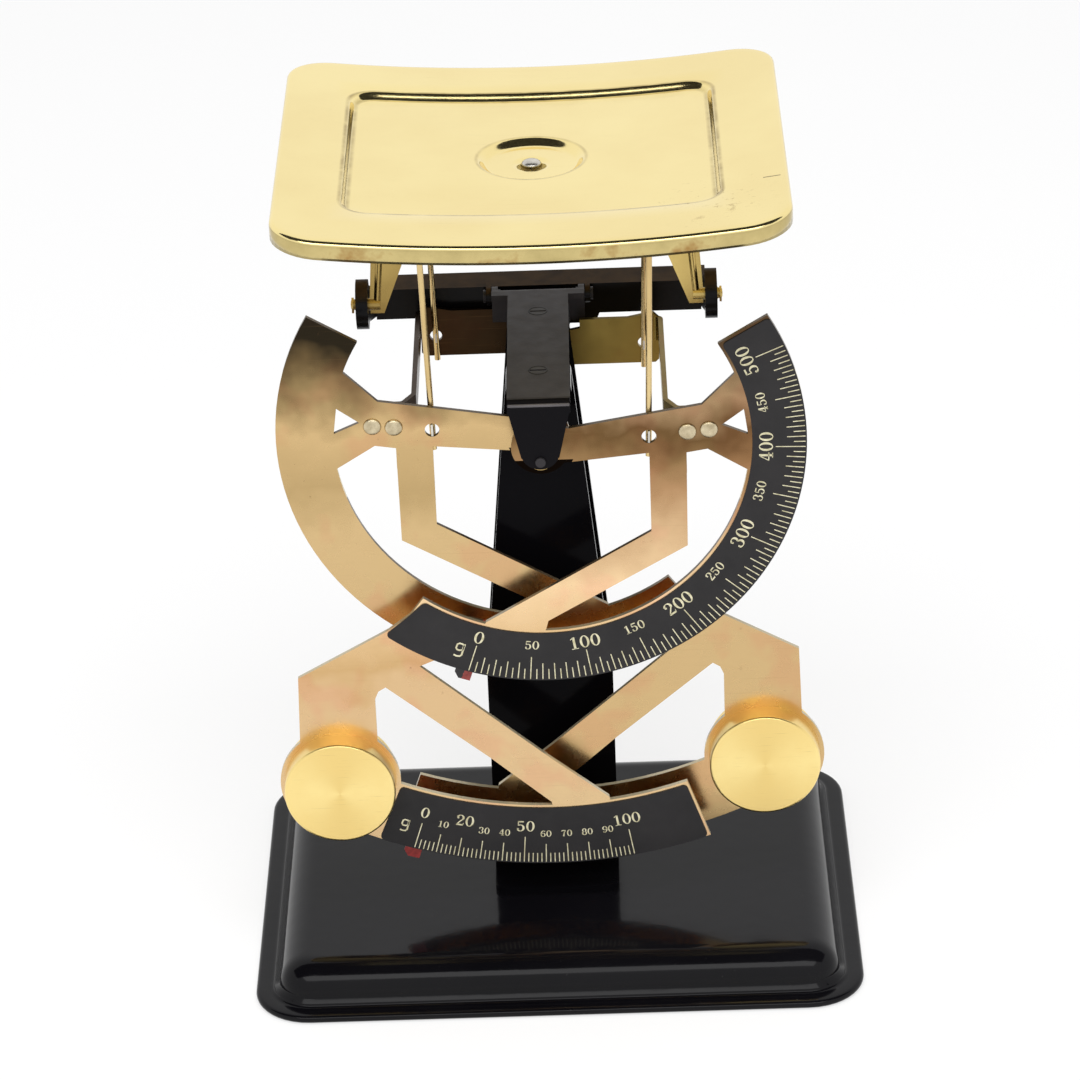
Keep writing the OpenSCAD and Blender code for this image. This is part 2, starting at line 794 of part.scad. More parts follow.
module guide_yoke() {
    half = yoke_w / 2;
    color(black) at_pivot() difference() {
        union() {
            along_y(web_y, web_y + yoke_t)
                polygon([[-half, web_top], [-half, 5.5], [-15, 5.5], [-14, 2.9], [14, 2.9], [15, 5.5], [half, 5.5],
                    [half, web_top]]);
            translate([-half, web_y, web_top - yoke_t]) cube([yoke_w, 9, yoke_t]);
            for (s = [false, true]) mirrored(s) {
                along_x(half, half + yoke_t) side_arm_outline();
                translate([0, pan_y, ear_rise]) difference() {
                    x_rod(half, half + yoke_t + 1.7, ear_r);
                    x_rod(half + yoke_t, half + yoke_t + 3, ear_r - 1);
                }
                knuckle(web_y + small, cross_head_w / 2 + knuckle_gap, cross_head_w / 2 + knuckle_gap + yoke_t,
                    pin_r + running);
            }
        }
        translate([0, pan_y, ear_rise]) x_rod(-yoke_w, yoke_w, ear_pin_r + running);
    }
}

module yoke_hinge_pins() {
    inner = cross_head_w / 2 - strap_t;
    outer = cross_head_w / 2 + knuckle_gap + yoke_t + side_gap;
    head_h = 0.6;
    color(silver) at_pivot() for (s = [false, true]) mirrored(s) translate([0, hinge_y, hinge_rise]) {
        x_rod(inner, outer, pin_r);
        x_rod(inner - head_h, inner, pin_r + 0.6);
        x_rod(outer, outer + head_h, pin_r + 0.6);
    }
}

// PAN AND ITS CARRIER

// The curved sheet between two depths below the pan's surface
module curved_slab(top, bottom) {
    translate([0, 0, pan_rise + pan_curve_r]) difference() {
        y_rod(-pan_d, pan_d, pan_curve_r + bottom, $fn = 720);
        y_rod(-pan_d - 1, pan_d + 1, pan_curve_r + top, $fn = 720);
    }
}

module pan_prism(w, d, r) {
    linear_extrude(2 * pan_rise) rounded_rect(w, d, r);
}

module pan() {
    panel_r = 6;
    color(gold) at_pivot() translate([0, pan_y, 0]) difference() {
        union() {
            intersection() {
                curved_slab(0, pan_t);
                difference() {
                    pan_prism(pan_w, pan_d, pan_corner_r);
                    pan_prism(panel_w - 2 * pan_t, panel_d - 2 * pan_t, panel_r - pan_t);
                }
            }
            intersection() {
                curved_slab(0, lip_d);
                difference() {
                    pan_prism(pan_w, pan_d, pan_corner_r);
                    pan_prism(pan_w - 2 * pan_t, pan_d - 2 * pan_t, pan_corner_r - pan_t);
                }
            }
            intersection() {
                curved_slab(0, press_d + pan_t);
                difference() {
                    pan_prism(panel_w, panel_d, panel_r);
                    pan_prism(panel_w - 2 * pan_t, panel_d - 2 * pan_t, panel_r - pan_t);
                }
            }
            intersection() {
                curved_slab(press_d, press_d + pan_t);
                difference() {
                    pan_prism(panel_w, panel_d, panel_r);
                    cylinder(h = 2 * pan_rise, r = dimple_d / 2 - pan_t);
                }
            }
            intersection() {
                curved_slab(press_d, 2 * press_d + pan_t);
                difference() {
                    cylinder(h = 2 * pan_rise, r = dimple_d / 2);
                    cylinder(h = 2 * pan_rise, r = dimple_d / 2 - pan_t);
                }
            }
            translate([0, 0, pan_rise - 2 * press_d - pan_t]) cylinder(h = pan_t, r = dimple_d / 2 - pan_t / 2);
        }
        cylinder(h = 2 * pan_rise, r = screw_r);
    }
}

strap_top = pan_rise - 2 * press_d - pan_t;
carrier_t = 1;
carrier_w = 12;
leg_in_x = 31;
leg_out_x = 39.2;
leg_t = 0.8;
leg_top = strap_top - carrier_t;
leg_rivet = [(leg_in_x + leg_out_x) / 2, pan_y + 4];

module pan_strap() {
    color(gold) at_pivot() difference() {
        translate([-leg_out_x, pan_y - carrier_w / 2, leg_top]) cube([2 * leg_out_x, carrier_w, carrier_t]);
        translate([0, pan_y, 0]) cylinder(h = 2 * pan_rise, r = screw_r);
        for (x = [-1, 1]) translate([x * leg_rivet.x, leg_rivet.y, 0]) cylinder(h = 2 * pan_rise, r = rivet_r);
    }
}

module pan_leg() {
    pad_d = 7.5;
    pin_end = yoke_w / 2 + 3.2;
    rib_r = 0.9;
    difference() {
        union() {
            along_y(pan_y - leg_t / 2, pan_y + leg_t / 2)
                polygon([[36.6, ear_rise - 2.3], [39.9, ear_rise - 2.3], [39.9, ear_rise + 2], [leg_out_x, 37.3],
                    [leg_out_x, leg_top], [leg_in_x, leg_top], [leg_in_x, 37.3]]);
            translate([leg_in_x, pan_y - leg_t / 2, leg_top - leg_t]) cube([leg_out_x - leg_in_x, pad_d, leg_t]);
            translate([0, pan_y, ear_rise]) x_rod(37.5, pin_end, ear_pin_r);
            translate([38.2, pan_y, ear_rise + 1]) rotate([0, -5, 0])
                cylinder(h = leg_top - ear_rise - 8, r = rib_r);
        }
        translate([leg_rivet.x, leg_rivet.y, 0]) cylinder(h = 2 * pan_rise, r = rivet_r);
    }
}

module pan_bracket_left() {
    color(gold) at_pivot() mirrored(true) pan_leg();
}

module pan_bracket_right() {
    color(gold) at_pivot() pan_leg();
}

module pan_rivet() {
    floor_z = strap_top + pan_t;
    color(silver) at_pivot() translate([0, pan_y, 0]) {
        translate([0, 0, leg_top]) cylinder(h = floor_z - leg_top, r = screw_r);
        translate([0, 0, floor_z]) dome(2.5, 1.2);
        translate([0, 0, leg_top]) mirror([0, 0, 1]) dome(2.5, 1);
    }
}

module pan_bracket_rivets() {
    color(silver) at_pivot() for (x = [-1, 1]) translate([x * leg_rivet.x, leg_rivet.y, 0]) {
        translate([0, 0, leg_top - leg_t]) cylinder(h = carrier_t + leg_t, r = rivet_r);
        translate([0, 0, strap_top]) dome(1.8, 0.7);
        translate([0, 0, leg_top - leg_t]) mirror([0, 0, 1]) dome(1.8, 0.7);
    }
}

module placed() {
    translate([0, origin_y, 0]) children();
}

placed() base_shell();
placed() foot_rivets();
placed() column_front();
placed() column_rear();
placed() top_bracket();
placed() bracket_screws();
placed() bracket_nuts();
placed() front_pivot_pin();
placed() rear_pivot_pin();
placed() yoke_hinge_pins();
placed() guide_yoke();
placed() pan();
placed() pan_strap();
placed() pan_bracket_left();
placed() pan_bracket_right();
placed() pan_rivet();
placed() pan_bracket_rivets();
placed() left_plate();
placed() left_yoke_strip();
placed() left_rivets();
placed() left_front_bush();
placed() left_rear_bush();
placed() left_weight_front();
placed() left_weight_rear();
placed() left_weight_rivet();
placed() upper_pointer();
placed() lower_pointer();
placed() pointer_rivets();
placed() right_plate();
placed() right_yoke_strip();
placed() right_rivets();
placed() right_front_bush();
placed() right_rear_bush();
placed() right_weight_front();
placed() right_weight_rear();
placed() right_weight_rivet();
placed() upper_dial();
placed() lower_dial();
placed() left_stirrup();
placed() left_knives();
placed() right_stirrup();
placed() right_knives();
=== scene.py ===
"""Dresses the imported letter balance: finishes, pan and base sheets, rivets, dial marks, studio."""
import json
import math

import bmesh
import bpy
from mathutils import Matrix, Vector

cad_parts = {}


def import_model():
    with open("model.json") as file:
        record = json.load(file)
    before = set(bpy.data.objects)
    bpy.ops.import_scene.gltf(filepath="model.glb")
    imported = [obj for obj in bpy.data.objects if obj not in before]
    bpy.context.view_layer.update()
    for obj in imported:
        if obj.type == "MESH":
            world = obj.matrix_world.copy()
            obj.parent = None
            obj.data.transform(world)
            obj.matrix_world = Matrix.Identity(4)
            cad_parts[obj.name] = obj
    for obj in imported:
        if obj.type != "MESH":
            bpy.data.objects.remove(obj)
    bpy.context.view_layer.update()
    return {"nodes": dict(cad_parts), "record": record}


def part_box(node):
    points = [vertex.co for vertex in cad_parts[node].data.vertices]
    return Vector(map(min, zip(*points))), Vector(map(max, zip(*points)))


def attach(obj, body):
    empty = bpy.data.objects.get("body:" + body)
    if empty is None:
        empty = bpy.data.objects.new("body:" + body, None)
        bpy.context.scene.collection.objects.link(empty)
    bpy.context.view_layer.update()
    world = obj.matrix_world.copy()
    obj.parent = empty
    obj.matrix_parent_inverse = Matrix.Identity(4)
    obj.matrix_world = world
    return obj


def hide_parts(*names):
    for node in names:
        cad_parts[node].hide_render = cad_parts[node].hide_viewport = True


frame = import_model()
NODES = frame["nodes"]
MM = 0.001
JOINTS = {joint["name"]: joint for joint in frame["record"]["behaviour"]["joints"]}
PIVOT = Vector(JOINTS["left_lever"]["pos_m"])


def middle(node):
    low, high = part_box(node)
    return (low + high) / 2


# Sizes that both shapes and finishes use

PANEL_W = 88.2 * MM
PANEL_D = 74.0 * MM
PANEL_CORNER_R = 6.5 * MM
PANEL_WALL = 1.7 * MM
DIMPLE_R = 13 * MM


# Material helpers

class Finish:
    """A procedural material that is built up node by node."""

    def __init__(self, name, **sockets):
        self.material = bpy.data.materials.new(name)
        self.material.use_nodes = True
        self.tree = self.material.node_tree
        self.shader = self.tree.nodes["Principled BSDF"]
        self.coords = self.add("ShaderNodeTexCoord").outputs["Object"]
        for key, value in sockets.items():
            self.shader.inputs[key.replace("_", " ")].default_value = value

    def add(self, kind, **settings):
        node = self.tree.nodes.new(kind)
        for key, value in settings.items():
            setattr(node, key, value)
        return node

    def link(self, source, target):
        self.tree.links.new(source, target)

    def drive(self, socket, source):
        self.link(source, self.shader.inputs[socket])

    def surface(self, source):
        """Shows another shader in place of the main one."""
        self.link(source, self.tree.nodes["Material Output"].inputs["Surface"])

    def fill(self, socket, value):
        """Links another node's output, or sets a plain number or colour."""
        if isinstance(value, (int, float)):
            grey = (value, value, value, 1)
            socket.default_value = value if socket.type == "VALUE" else grey
        elif isinstance(value, tuple):
            socket.default_value = (*value, 1)
        else:
            self.link(value, socket)

    def split(self, source):
        node = self.add("ShaderNodeSeparateXYZ")
        self.link(source, node.inputs[0])
        return node.outputs["X"], node.outputs["Y"], node.outputs["Z"]

    def place(self):
        """X, Y and Z of the shaded point."""
        return self.split(self.coords)

    def facing(self):
        """X, Y and Z of the shaded face's own normal."""
        return self.split(self.add("ShaderNodeNewGeometry").outputs["True Normal"])

    def noise(self, size, detail=4.0, roughness=0.55, vector=None):
        """Noise whose features are about size metres across."""
        node = self.add("ShaderNodeTexNoise")
        node.inputs["Scale"].default_value = 1.0 / size
        node.inputs["Detail"].default_value = detail
        node.inputs["Roughness"].default_value = roughness
        self.link(vector or self.coords, node.inputs["Vector"])
        return node.outputs["Fac"]

    def ramp(self, source, stops):
        """stops are (position, colour or grey level)."""
        node = self.add("ShaderNodeValToRGB")
        items = node.color_ramp.elements
        while len(items) < len(stops):
            items.new(0.5)
        for item, (position, value) in zip(items, stops):
            item.position = position
            item.color = (*value, 1) if isinstance(value, tuple) else (value, value, value, 1)
        self.link(source, node.inputs["Fac"])
        return node.outputs["Color"]

    def mixed(self, factor, first, second, blend="MIX"):
        node = self.add("ShaderNodeMix", data_type="RGBA", blend_type=blend)
        self.fill(node.inputs[0], factor)
        self.fill(node.inputs[6], first)
        self.fill(node.inputs[7], second)
        return node.outputs[2]

    def calc(self, operation, first, second=0.0):
        node = self.add("ShaderNodeMath", operation=operation)
        self.fill(node.inputs[0], first)
        self.fill(node.inputs[1], second)
        return node.outputs[0]

    def plus(self, first, second):
        return self.calc("ADD", first, second)

    def minus(self, first, second):
        return self.calc("SUBTRACT", first, second)

    def times(self, first, second):
        return self.calc("MULTIPLY", first, second)

    def over(self, first, second):
        return self.calc("DIVIDE", first, second)

    def below(self, first, second):
        return self.calc("LESS_THAN", first, second)

    def above(self, first, second):
        return self.calc("GREATER_THAN", first, second)

    def absolute(self, source):
        return self.calc("ABSOLUTE", source)

    def reach(self, first, second):
        """The length of a vector with these two parts."""
        return self.calc("SQRT", self.plus(self.times(first, first), self.times(second, second)))

    def bump(self, height, depth):
        """Relief of about depth metres."""
        node = self.add("ShaderNodeBump")
        node.inputs["Strength"].default_value = 1.0
        node.inputs["Distance"].default_value = depth
        self.link(height, node.inputs["Height"])
        self.drive("Normal", node.outputs["Normal"])

    def scratches(self, length, width, amount, turn):
        """A mask of fine straight scratches along one direction."""
        node = self.add("ShaderNodeMapping")
        node.inputs["Rotation"].default_value = (0, turn, turn)
        node.inputs["Scale"].default_value = (1 / length, 1 / width, 1 / width)
        self.link(self.coords, node.inputs["Vector"])
        lines = self.noise(1.0, 3.0, 0.5, node.outputs["Vector"])
        return self.ramp(lines, [(0.62 - amount, 0.0), (0.72 - amount, 1.0)])


# Brass

def aged_brass(name, bright, warm, tarnish, relief):
    """Small brass parts: two tones in soft clouds, tarnish specks and faint scratches."""
    f = Finish(name, Metallic=1.0)
    clouds = f.ramp(f.noise(0.034, 3.0, 0.5), [(0.38, 0.0), (0.66, 1.0)])
    specks = f.ramp(f.noise(0.0035, 6.0, 0.7), [(0.63, 0.0), (0.71, 1.0)])
    where = f.ramp(f.noise(0.03, 2.0), [(0.5, 0.0), (0.68, 1.0)])
    stain = f.times(specks, where)
    colour = f.mixed(clouds, bright, warm)
    colour = f.mixed(f.times(stain, 0.55), colour, tarnish)
    lines = f.scratches(0.03, 0.0004, 0.0, 0.6)
    f.drive("Base Color", f.mixed(f.times(lines, 0.08), colour, tarnish))
    haze = f.ramp(f.noise(0.012, 5.0, 0.6), [(0.3, 0.22), (0.7, 0.32)])
    f.drive("Roughness", f.mixed(stain, haze, 0.5))
    f.bump(f.noise(0.0006, 4.0, 0.6), relief)
    return f.material


SHADE_BAND_DRIFT = 24 * MM


def graded_brass(name, shade_bands, gloss, plate=True):
    """Satin sheet brass whose colour shifts in bands with the height over the pivot: painted shade,
    darkest high up under the pan, painted reflection bands, and some tarnish.

    shade_bands are (height in mm, colour). Pink patches, specks and fine scratches lie over them.
    A plate also gets pale cut edges with painted shade on the upward ones, and painted shade on the
    hub."""
    f = Finish(name, Metallic=1.0)
    low, high = shade_bands[0][0], shade_bands[-1][0]
    # Painted shade and painted reflection: colour bands by height, darkest high up under the pan,
    # wavering with noise.
    drift = f.times(f.minus(f.noise(0.016, 3.0), 0.5), SHADE_BAND_DRIFT)
    height = f.minus(f.plus(f.place()[2], drift), PIVOT.z + low * MM)
    level = f.over(height, (high - low) * MM)
    colour = f.ramp(level, [((z - low) / (high - low), tone) for z, tone in shade_bands])
    pink = f.ramp(f.noise(0.011, 2.0, 0.5), [(0.5, 0.0), (0.62, 0.5)])
    colour = f.mixed(pink, colour, (1.0, 0.8, 0.85), "MULTIPLY")
    specks = f.ramp(f.noise(0.0022, 6.0, 0.7), [(0.64, 0.0), (0.72, 1.0)])
    where = f.ramp(f.noise(0.02, 3.0), [(0.5, 0.0), (0.66, 1.0)])
    stain = f.times(specks, where)
    colour = f.mixed(f.times(stain, 0.5), colour, (0.12, 0.06, 0.03))
    lines = f.scratches(0.02, 0.0003, 0.01, 0.9)
    colour = f.mixed(f.times(lines, 0.1), colour, (0.3, 0.18, 0.08))
    if plate:
        edge = cut_edge(f)
        # Painted shade on the upward cut edges; the other cut edges stay pale.
        edge_shade_colour = f.mixed(upward_edge(f), (0.84, 0.74, 0.5), (0.1, 0.07, 0.04))
        colour = f.mixed(edge, colour, edge_shade_colour)
        colour = f.mixed(dark_hub(f), colour, (0.005, 0.003, 0.002))
        f.drive("Metallic", f.mixed(edge, 1.0, 0.45))
    f.drive("Base Color", colour)
    haze = f.ramp(f.noise(0.008, 5.0, 0.6), [(0.3, gloss), (0.7, gloss + 0.12)])
    f.drive("Roughness", f.mixed(stain, haze, 0.5))
    f.bump(f.noise(0.0012, 3.0, 0.5), 0.000008)
    return f.material


def cut_edge(f):
    """1 on the cut edges of a plate that stands upright across the front."""
    return f.below(f.absolute(f.facing()[1]), 0.6)


def upward_edge(f):
    """1 on the upper edges that look up, which get painted shade, and less on the lower ones."""
    height = f.over(f.plus(f.minus(f.place()[2], PIVOT.z), 60 * MM), 30 * MM)
    return f.times(f.above(f.facing()[2], 0.3), f.ramp(height, [(0.2, 0.45), (0.8, 1.0)]))


HUB_R = 8.4 * MM
HUB_LIT_Z = -3.4 * MM


def dark_hub(f):
    """1 on the round hub below the pivot line, which the photograph shows in deep shadow."""
    x, _, z = f.place()
    x, z = f.minus(x, PIVOT.x), f.minus(z, PIVOT.z)
    return f.times(f.below(f.reach(x, z), HUB_R), f.below(z, HUB_LIT_Z))


def turned_brass(name, centre):
    """Bright turned discs, alike on both sides: fine rings, a painted sheen that is brighter left and
    right of the middle, and fine scratches.
    """
    f = Finish(name, Metallic=1.0)
    x, _, z = f.place()
    x, z = f.minus(f.absolute(x), abs(centre.x)), f.minus(z, centre.z)
    xx, zz = f.times(x, x), f.times(z, z)
    total = f.plus(f.plus(xx, zz), 1e-9)
    # Painted sheen: brighter where the radius runs level, darker where it runs upright.
    painted_sheen = f.ramp(f.over(xx, total), [(0.0, 0.0), (0.35, 0.35), (1.0, 1.0)])
    clouds = f.ramp(f.noise(0.009, 4.0, 0.55), [(0.3, 0.0), (0.75, 0.6)])
    colour = f.mixed(painted_sheen, (0.88, 0.66, 0.25), (1.0, 0.8, 0.34))
    colour = f.mixed(clouds, colour, (0.92, 0.68, 0.25))
    grooves = f.add("ShaderNodeTexNoise", noise_dimensions="1D")
    grooves.inputs["Scale"].default_value = 1 / 0.0005
    grooves.inputs["Detail"].default_value = 3.0
    f.link(f.calc("SQRT", total), grooves.inputs["W"])
    lines = f.scratches(0.006, 0.0002, -0.03, 0.9)
    f.drive("Base Color", f.mixed(f.times(lines, 0.25), colour, (0.35, 0.2, 0.07)))
    f.drive("Roughness", f.ramp(grooves.outputs["Fac"], [(0.3, 0.28), (0.7, 0.35)]))
    f.bump(grooves.outputs["Fac"], 0.0000032)
    return f.material


STAIN_AT = (41 * MM, -36 * MM)
STAIN_R = 17 * MM
SCRATCH_AT = (55.5 * MM, -28 * MM)
SCRATCH_HALF = (2.0 * MM, 0.22 * MM)


def pan_finish(name):
    """Pale gold sheet: darker brown bands along the pressed steps, specks near the front right, a
    scratch.
    """
    f = Finish(name, Metallic=1.0)
    centre = middle("pan")
    x, y, _ = f.place()
    x, y = f.minus(x, centre.x), f.minus(y, centre.y)
    clouds = f.ramp(f.noise(0.03, 3.0, 0.5), [(0.36, 0.0), (0.66, 1.0)])
    colour = f.mixed(clouds, (0.94, 0.785, 0.37), (0.9, 0.735, 0.335))

    qx = f.calc("MAXIMUM", f.minus(f.absolute(x), PANEL_W / 2 - PANEL_CORNER_R))
    qy = f.calc("MAXIMUM", f.minus(f.absolute(y), PANEL_D / 2 - PANEL_CORNER_R))
    past_panel = f.minus(f.reach(qx, qy), PANEL_CORNER_R)
    from_middle = f.reach(x, y)
    for distance, offset, width, depth in ((past_panel, 0.0, 0.35 * MM, 0.6),
                                           (past_panel, -PANEL_WALL, 0.4 * MM, 0.45),
                                           (from_middle, DIMPLE_R, 0.3 * MM, 0.35)):
        away = f.absolute(f.minus(distance, offset))
        band = f.ramp(f.over(away, width * 2), [(0.2, 1.0), (1.0, 0.0)])
        broken = f.ramp(f.noise(0.006, 4.0, 0.6), [(0.35, 0.35), (0.6, 1.0)])
        colour = f.mixed(f.times(f.times(band, broken), depth), colour, (0.22, 0.14, 0.04))

    spot = f.add("ShaderNodeVectorMath", operation="DISTANCE")
    f.link(f.coords, spot.inputs[0])
    spot.inputs[1].default_value = (centre.x + STAIN_AT[0], centre.y + STAIN_AT[1], centre.z)
    near = f.ramp(f.over(spot.outputs["Value"], STAIN_R), [(0.2, 1.0), (1.0, 0.0)])
    specks = f.ramp(f.noise(0.003, 5.0, 0.7), [(0.6, 0.0), (0.66, 1.0)])
    stain = f.times(specks, near)
    colour = f.mixed(f.times(stain, 0.5), colour, (0.3, 0.2, 0.08))

    along = f.absolute(f.minus(x, SCRATCH_AT[0]))
    aside = f.absolute(f.minus(y, SCRATCH_AT[1]))
    scratch = f.times(f.below(along, SCRATCH_HALF[0]), f.below(aside, SCRATCH_HALF[1]))
    colour = f.mixed(f.times(scratch, 0.8), colour, (0.1, 0.06, 0.02))

    # The steep lip gets darker mottled patches: partly tarnish, partly painted shade on the faces that
    # turn away from the top.
    steep = f.ramp(f.absolute(f.facing()[2]), [(0.25, 1.0), (0.5, 0.0)])
    lip = f.times(steep, f.above(past_panel, 6 * MM))
    patches = f.ramp(f.noise(0.012, 4.0, 0.6),
                     [(0.35, (0.5, 0.4, 0.17)), (0.55, (0.62, 0.5, 0.22)), (0.68, (0.4, 0.24, 0.08))])
    colour = f.mixed(lip, colour, patches)

    lines = f.scratches(0.03, 0.0004, -0.01, 0.4)
    f.drive("Base Color", f.mixed(f.times(lines, 0.06), colour, (0.4, 0.3, 0.1)))
    haze = f.ramp(f.noise(0.012, 5.0, 0.6), [(0.3, 0.09), (0.7, 0.16)])
    f.drive("Roughness", f.mixed(stain, haze, 0.45))
    f.bump(f.noise(0.0008, 4.0, 0.6), 0.000003)
    return f.material


# Enamel, steel and paint

def enamel(name, coat, specular):
    f = Finish(name, Metallic=0.0, Coat_Weight=coat, Coat_Roughness=0.05,
               Specular_IOR_Level=specular)
    dust = f.ramp(f.noise(0.0011, 2.0, 0.5), [(0.74, 0.0), (0.78, 1.0)])
    black = f.ramp(f.noise(0.05, 3.0), [(0.4, (0.0028, 0.0026, 0.0036)),
                                        (0.7, (0.0045, 0.0042, 0.0055))])
    f.drive("Base Color", f.mixed(f.times(dust, 0.25), black, 0.09))
    f.drive("Roughness", f.ramp(f.noise(0.02, 4.0), [(0.3, 0.1), (0.7, 0.17)]))
    f.bump(f.noise(0.004, 2.0, 0.4), 0.00004)
    return f.material


def crossbar_enamel(name):
    """Black enamel whose upward faces carry a dull painted brown reflection of the brass pan above."""
    f = Finish(name, Metallic=0.0)
    upward = f.ramp(f.facing()[2], [(0.5, 0.0), (0.8, 1.0)])
    black = f.ramp(f.noise(0.01, 4.0), [(0.3, (0.003, 0.003, 0.004)), (0.7, (0.006, 0.005, 0.005))])
    # Painted reflection: the brass pan above shows as brown on the upward faces.
    pan_reflection = f.ramp(f.noise(0.006, 4.0), [(0.3, (0.03, 0.018, 0.009)), (0.7, (0.06, 0.035, 0.015))])
    f.drive("Base Color", f.mixed(upward, black, pan_reflection))
    f.drive("Specular IOR Level", f.mixed(upward, 0.12, 0.02))
    f.drive("Roughness", f.mixed(upward, 0.25, 0.4))
    f.bump(f.noise(0.002, 3.0), 0.00002)
    return f.material


def dark_steel(name, tone, grain, depth, black_until=None):
    """Blackened steel with a fine grain; in front of black_until in Y it is black and hammered."""
    f = Finish(name, Metallic=0.35, Specular_IOR_Level=0.16)
    dull = tuple(v * 0.8 for v in tone)
    shade = f.ramp(f.noise(0.008, 5.0, 0.65), [(0.3, dull), (0.7, tone)])
    height = f.noise(grain, 3.0, 0.6)
    if black_until is not None:
        near = f.below(f.place()[1], black_until)
        shade = f.mixed(f.times(near, 0.9), shade, (0.003, 0.0028, 0.004))
        height = f.mixed(near, height, f.times(f.noise(0.0016, 1.0, 0.4), 4.0))
        f.drive("Specular IOR Level", f.mixed(near, 0.16, 0.08))
    f.drive("Base Color", shade)
    f.drive("Roughness", f.ramp(f.noise(0.004, 3.0), [(0.3, 0.42), (0.7, 0.55)]))
    f.bump(height, depth)
    return f.material


def bright_steel(name, dull, bright):
    f = Finish(name, Metallic=1.0)
    f.drive("Base Color", f.ramp(f.noise(0.002, 4.0), [(0.3, dull), (0.7, bright)]))
    f.drive("Roughness", f.ramp(f.noise(0.001, 4.0), [(0.3, 0.25), (0.7, 0.4)]))
    f.bump(f.noise(0.0004, 3.0), 0.00001)
    return f.material


def dial_paint(name):
    f = Finish(name, Metallic=0.0, Specular_IOR_Level=0.3)
    f.drive("Base Color", f.ramp(f.noise(0.015, 5.0, 0.6), [(0.3, (0.016, 0.015, 0.016)),
                                                            (0.7, (0.024, 0.022, 0.023))]))
    f.drive("Roughness", f.ramp(f.noise(0.003, 3.0), [(0.3, 0.5), (0.7, 0.62)]))
    f.bump(f.noise(0.0003, 2.0), 0.000006)
    return f.material


def flat_paint(name, roughness, stops):
    f = Finish(name, Metallic=0.0, Roughness=roughness)
    f.drive("Base Color", f.ramp(f.noise(0.0012, 4.0, 0.6), stops))
    return f.material


def tipped_paint(name, tip, edge_x):
    """Red paint on the tip of a pointer, dark to the left of a slanted edge."""
    f = Finish(name, Metallic=0.0, Roughness=0.45)
    x, _, z = f.place()
    place = f.plus(f.minus(x, edge_x), f.times(f.minus(z, tip.z), -0.45))
    ragged = f.plus(place, f.times(f.minus(f.noise(0.0012, 3.0), 0.5), 1.2 * MM))
    red = f.ramp(f.noise(0.0012, 4.0, 0.6), [(0.3, (0.2, 0.02, 0.018)), (0.7, (0.4, 0.06, 0.05))])
    f.drive("Base Color", f.mixed(f.below(ragged, 0.0), red, (0.018, 0.015, 0.017)))
    return f.material


# Mesh helpers

def mesh_object(name, vertices, faces, body, material, smooth=True):
    mesh = bpy.data.meshes.new(name)
    mesh.from_pydata([tuple(v) for v in vertices], [], faces)
    mesh.validate()
    builder = bmesh.new()
    builder.from_mesh(mesh)
    bmesh.ops.recalc_face_normals(builder, faces=builder.faces)
    builder.to_mesh(mesh)
    builder.free()
    for face in mesh.polygons:
        face.use_smooth = smooth
    item = bpy.data.objects.new(name, mesh)
    bpy.context.scene.collection.objects.link(item)
    mesh.materials.append(material)
    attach(item, body)
    return item


def thicken(item, thickness, outward):
    """Gives an open mesh a sheet's thickness on the side away from its outer face."""
    shell = item.modifiers.new("sheet", "SOLIDIFY")
    shell.thickness = thickness
    shell.offset = -1 if outward else 1


def lathe(profile, centre, axis, steps=40):
    """Vertices and faces of a profile of (radius, height) turned about axis; closed at radius 0."""
    axis = Vector(axis).normalized()
    across = axis.orthogonal().normalized()
    other = axis.cross(across)
    vertices, faces, rows = [], [], []
    for radius, height in profile:
        base = Vector(centre) + axis * height
        if radius < 1e-9:
            rows.append([len(vertices)] * steps)
            vertices.append(base)
            continue
        rows.append(list(range(len(vertices), len(vertices) + steps)))
        for i in range(steps):
            a = 2 * math.pi * i / steps
            vertices.append(base + radius * (math.cos(a) * across + math.sin(a) * other))
    for low, high in zip(rows, rows[1:]):
        for i in range(steps):
            j = (i + 1) % steps
            corners = [low[i], low[j], high[j], high[i]]
            face = [v for k, v in enumerate(corners) if v not in corners[:k]]
            if len(face) > 2:
                faces.append(face)
    return vertices, faces


def turned_piece(name, profiles, body, material, steps=40):
    """One piece from several turned profiles, each a (profile, centre, axis)."""
    vertices, faces = [], []
    for profile, centre, axis in profiles:
        new_vertices, new_faces = lathe(profile, centre, axis, steps)
        start = len(vertices)
        vertices += new_vertices
        faces += [[v + start for v in face] for face in new_faces]
    return mesh_object(name, vertices, faces, body, material)


def ring_faces(rings, steps):
    """Faces between closed rings of equally many vertices."""
    faces = []
    for k in range(rings - 1):
        for i in range(steps):
            j = (i + 1) % steps
            faces.append([k * steps + i, k * steps + j,
                          (k + 1) * steps + j, (k + 1) * steps + i])
    return faces


def rounded_reach(w, d, r, angle):
    """Distance from the middle of a rounded rectangle to its edge along an angle."""
    c, s = abs(math.cos(angle)), abs(math.sin(angle))
    x0, y0 = w / 2 - r, d / 2 - r
    reach = min(w / 2 / c if c > 1e-9 else 9, d / 2 / s if s > 1e-9 else 9)
    if reach * c > x0 and reach * s > y0:
        b = c * x0 + s * y0
        reach = b + math.sqrt(max(b * b - (x0 * x0 + y0 * y0 - r * r), 0))
    return reach


def smoothstep(t):
    t = min(max(t, 0.0), 1.0)
    return t * t * (3 - 2 * t)


def at_pivot(x, z, y):
    """A point given in mm from the pivot in X and Z, and in metres in Y."""
    return Vector((PIVOT.x + x * MM, y, PIVOT.z + z * MM))


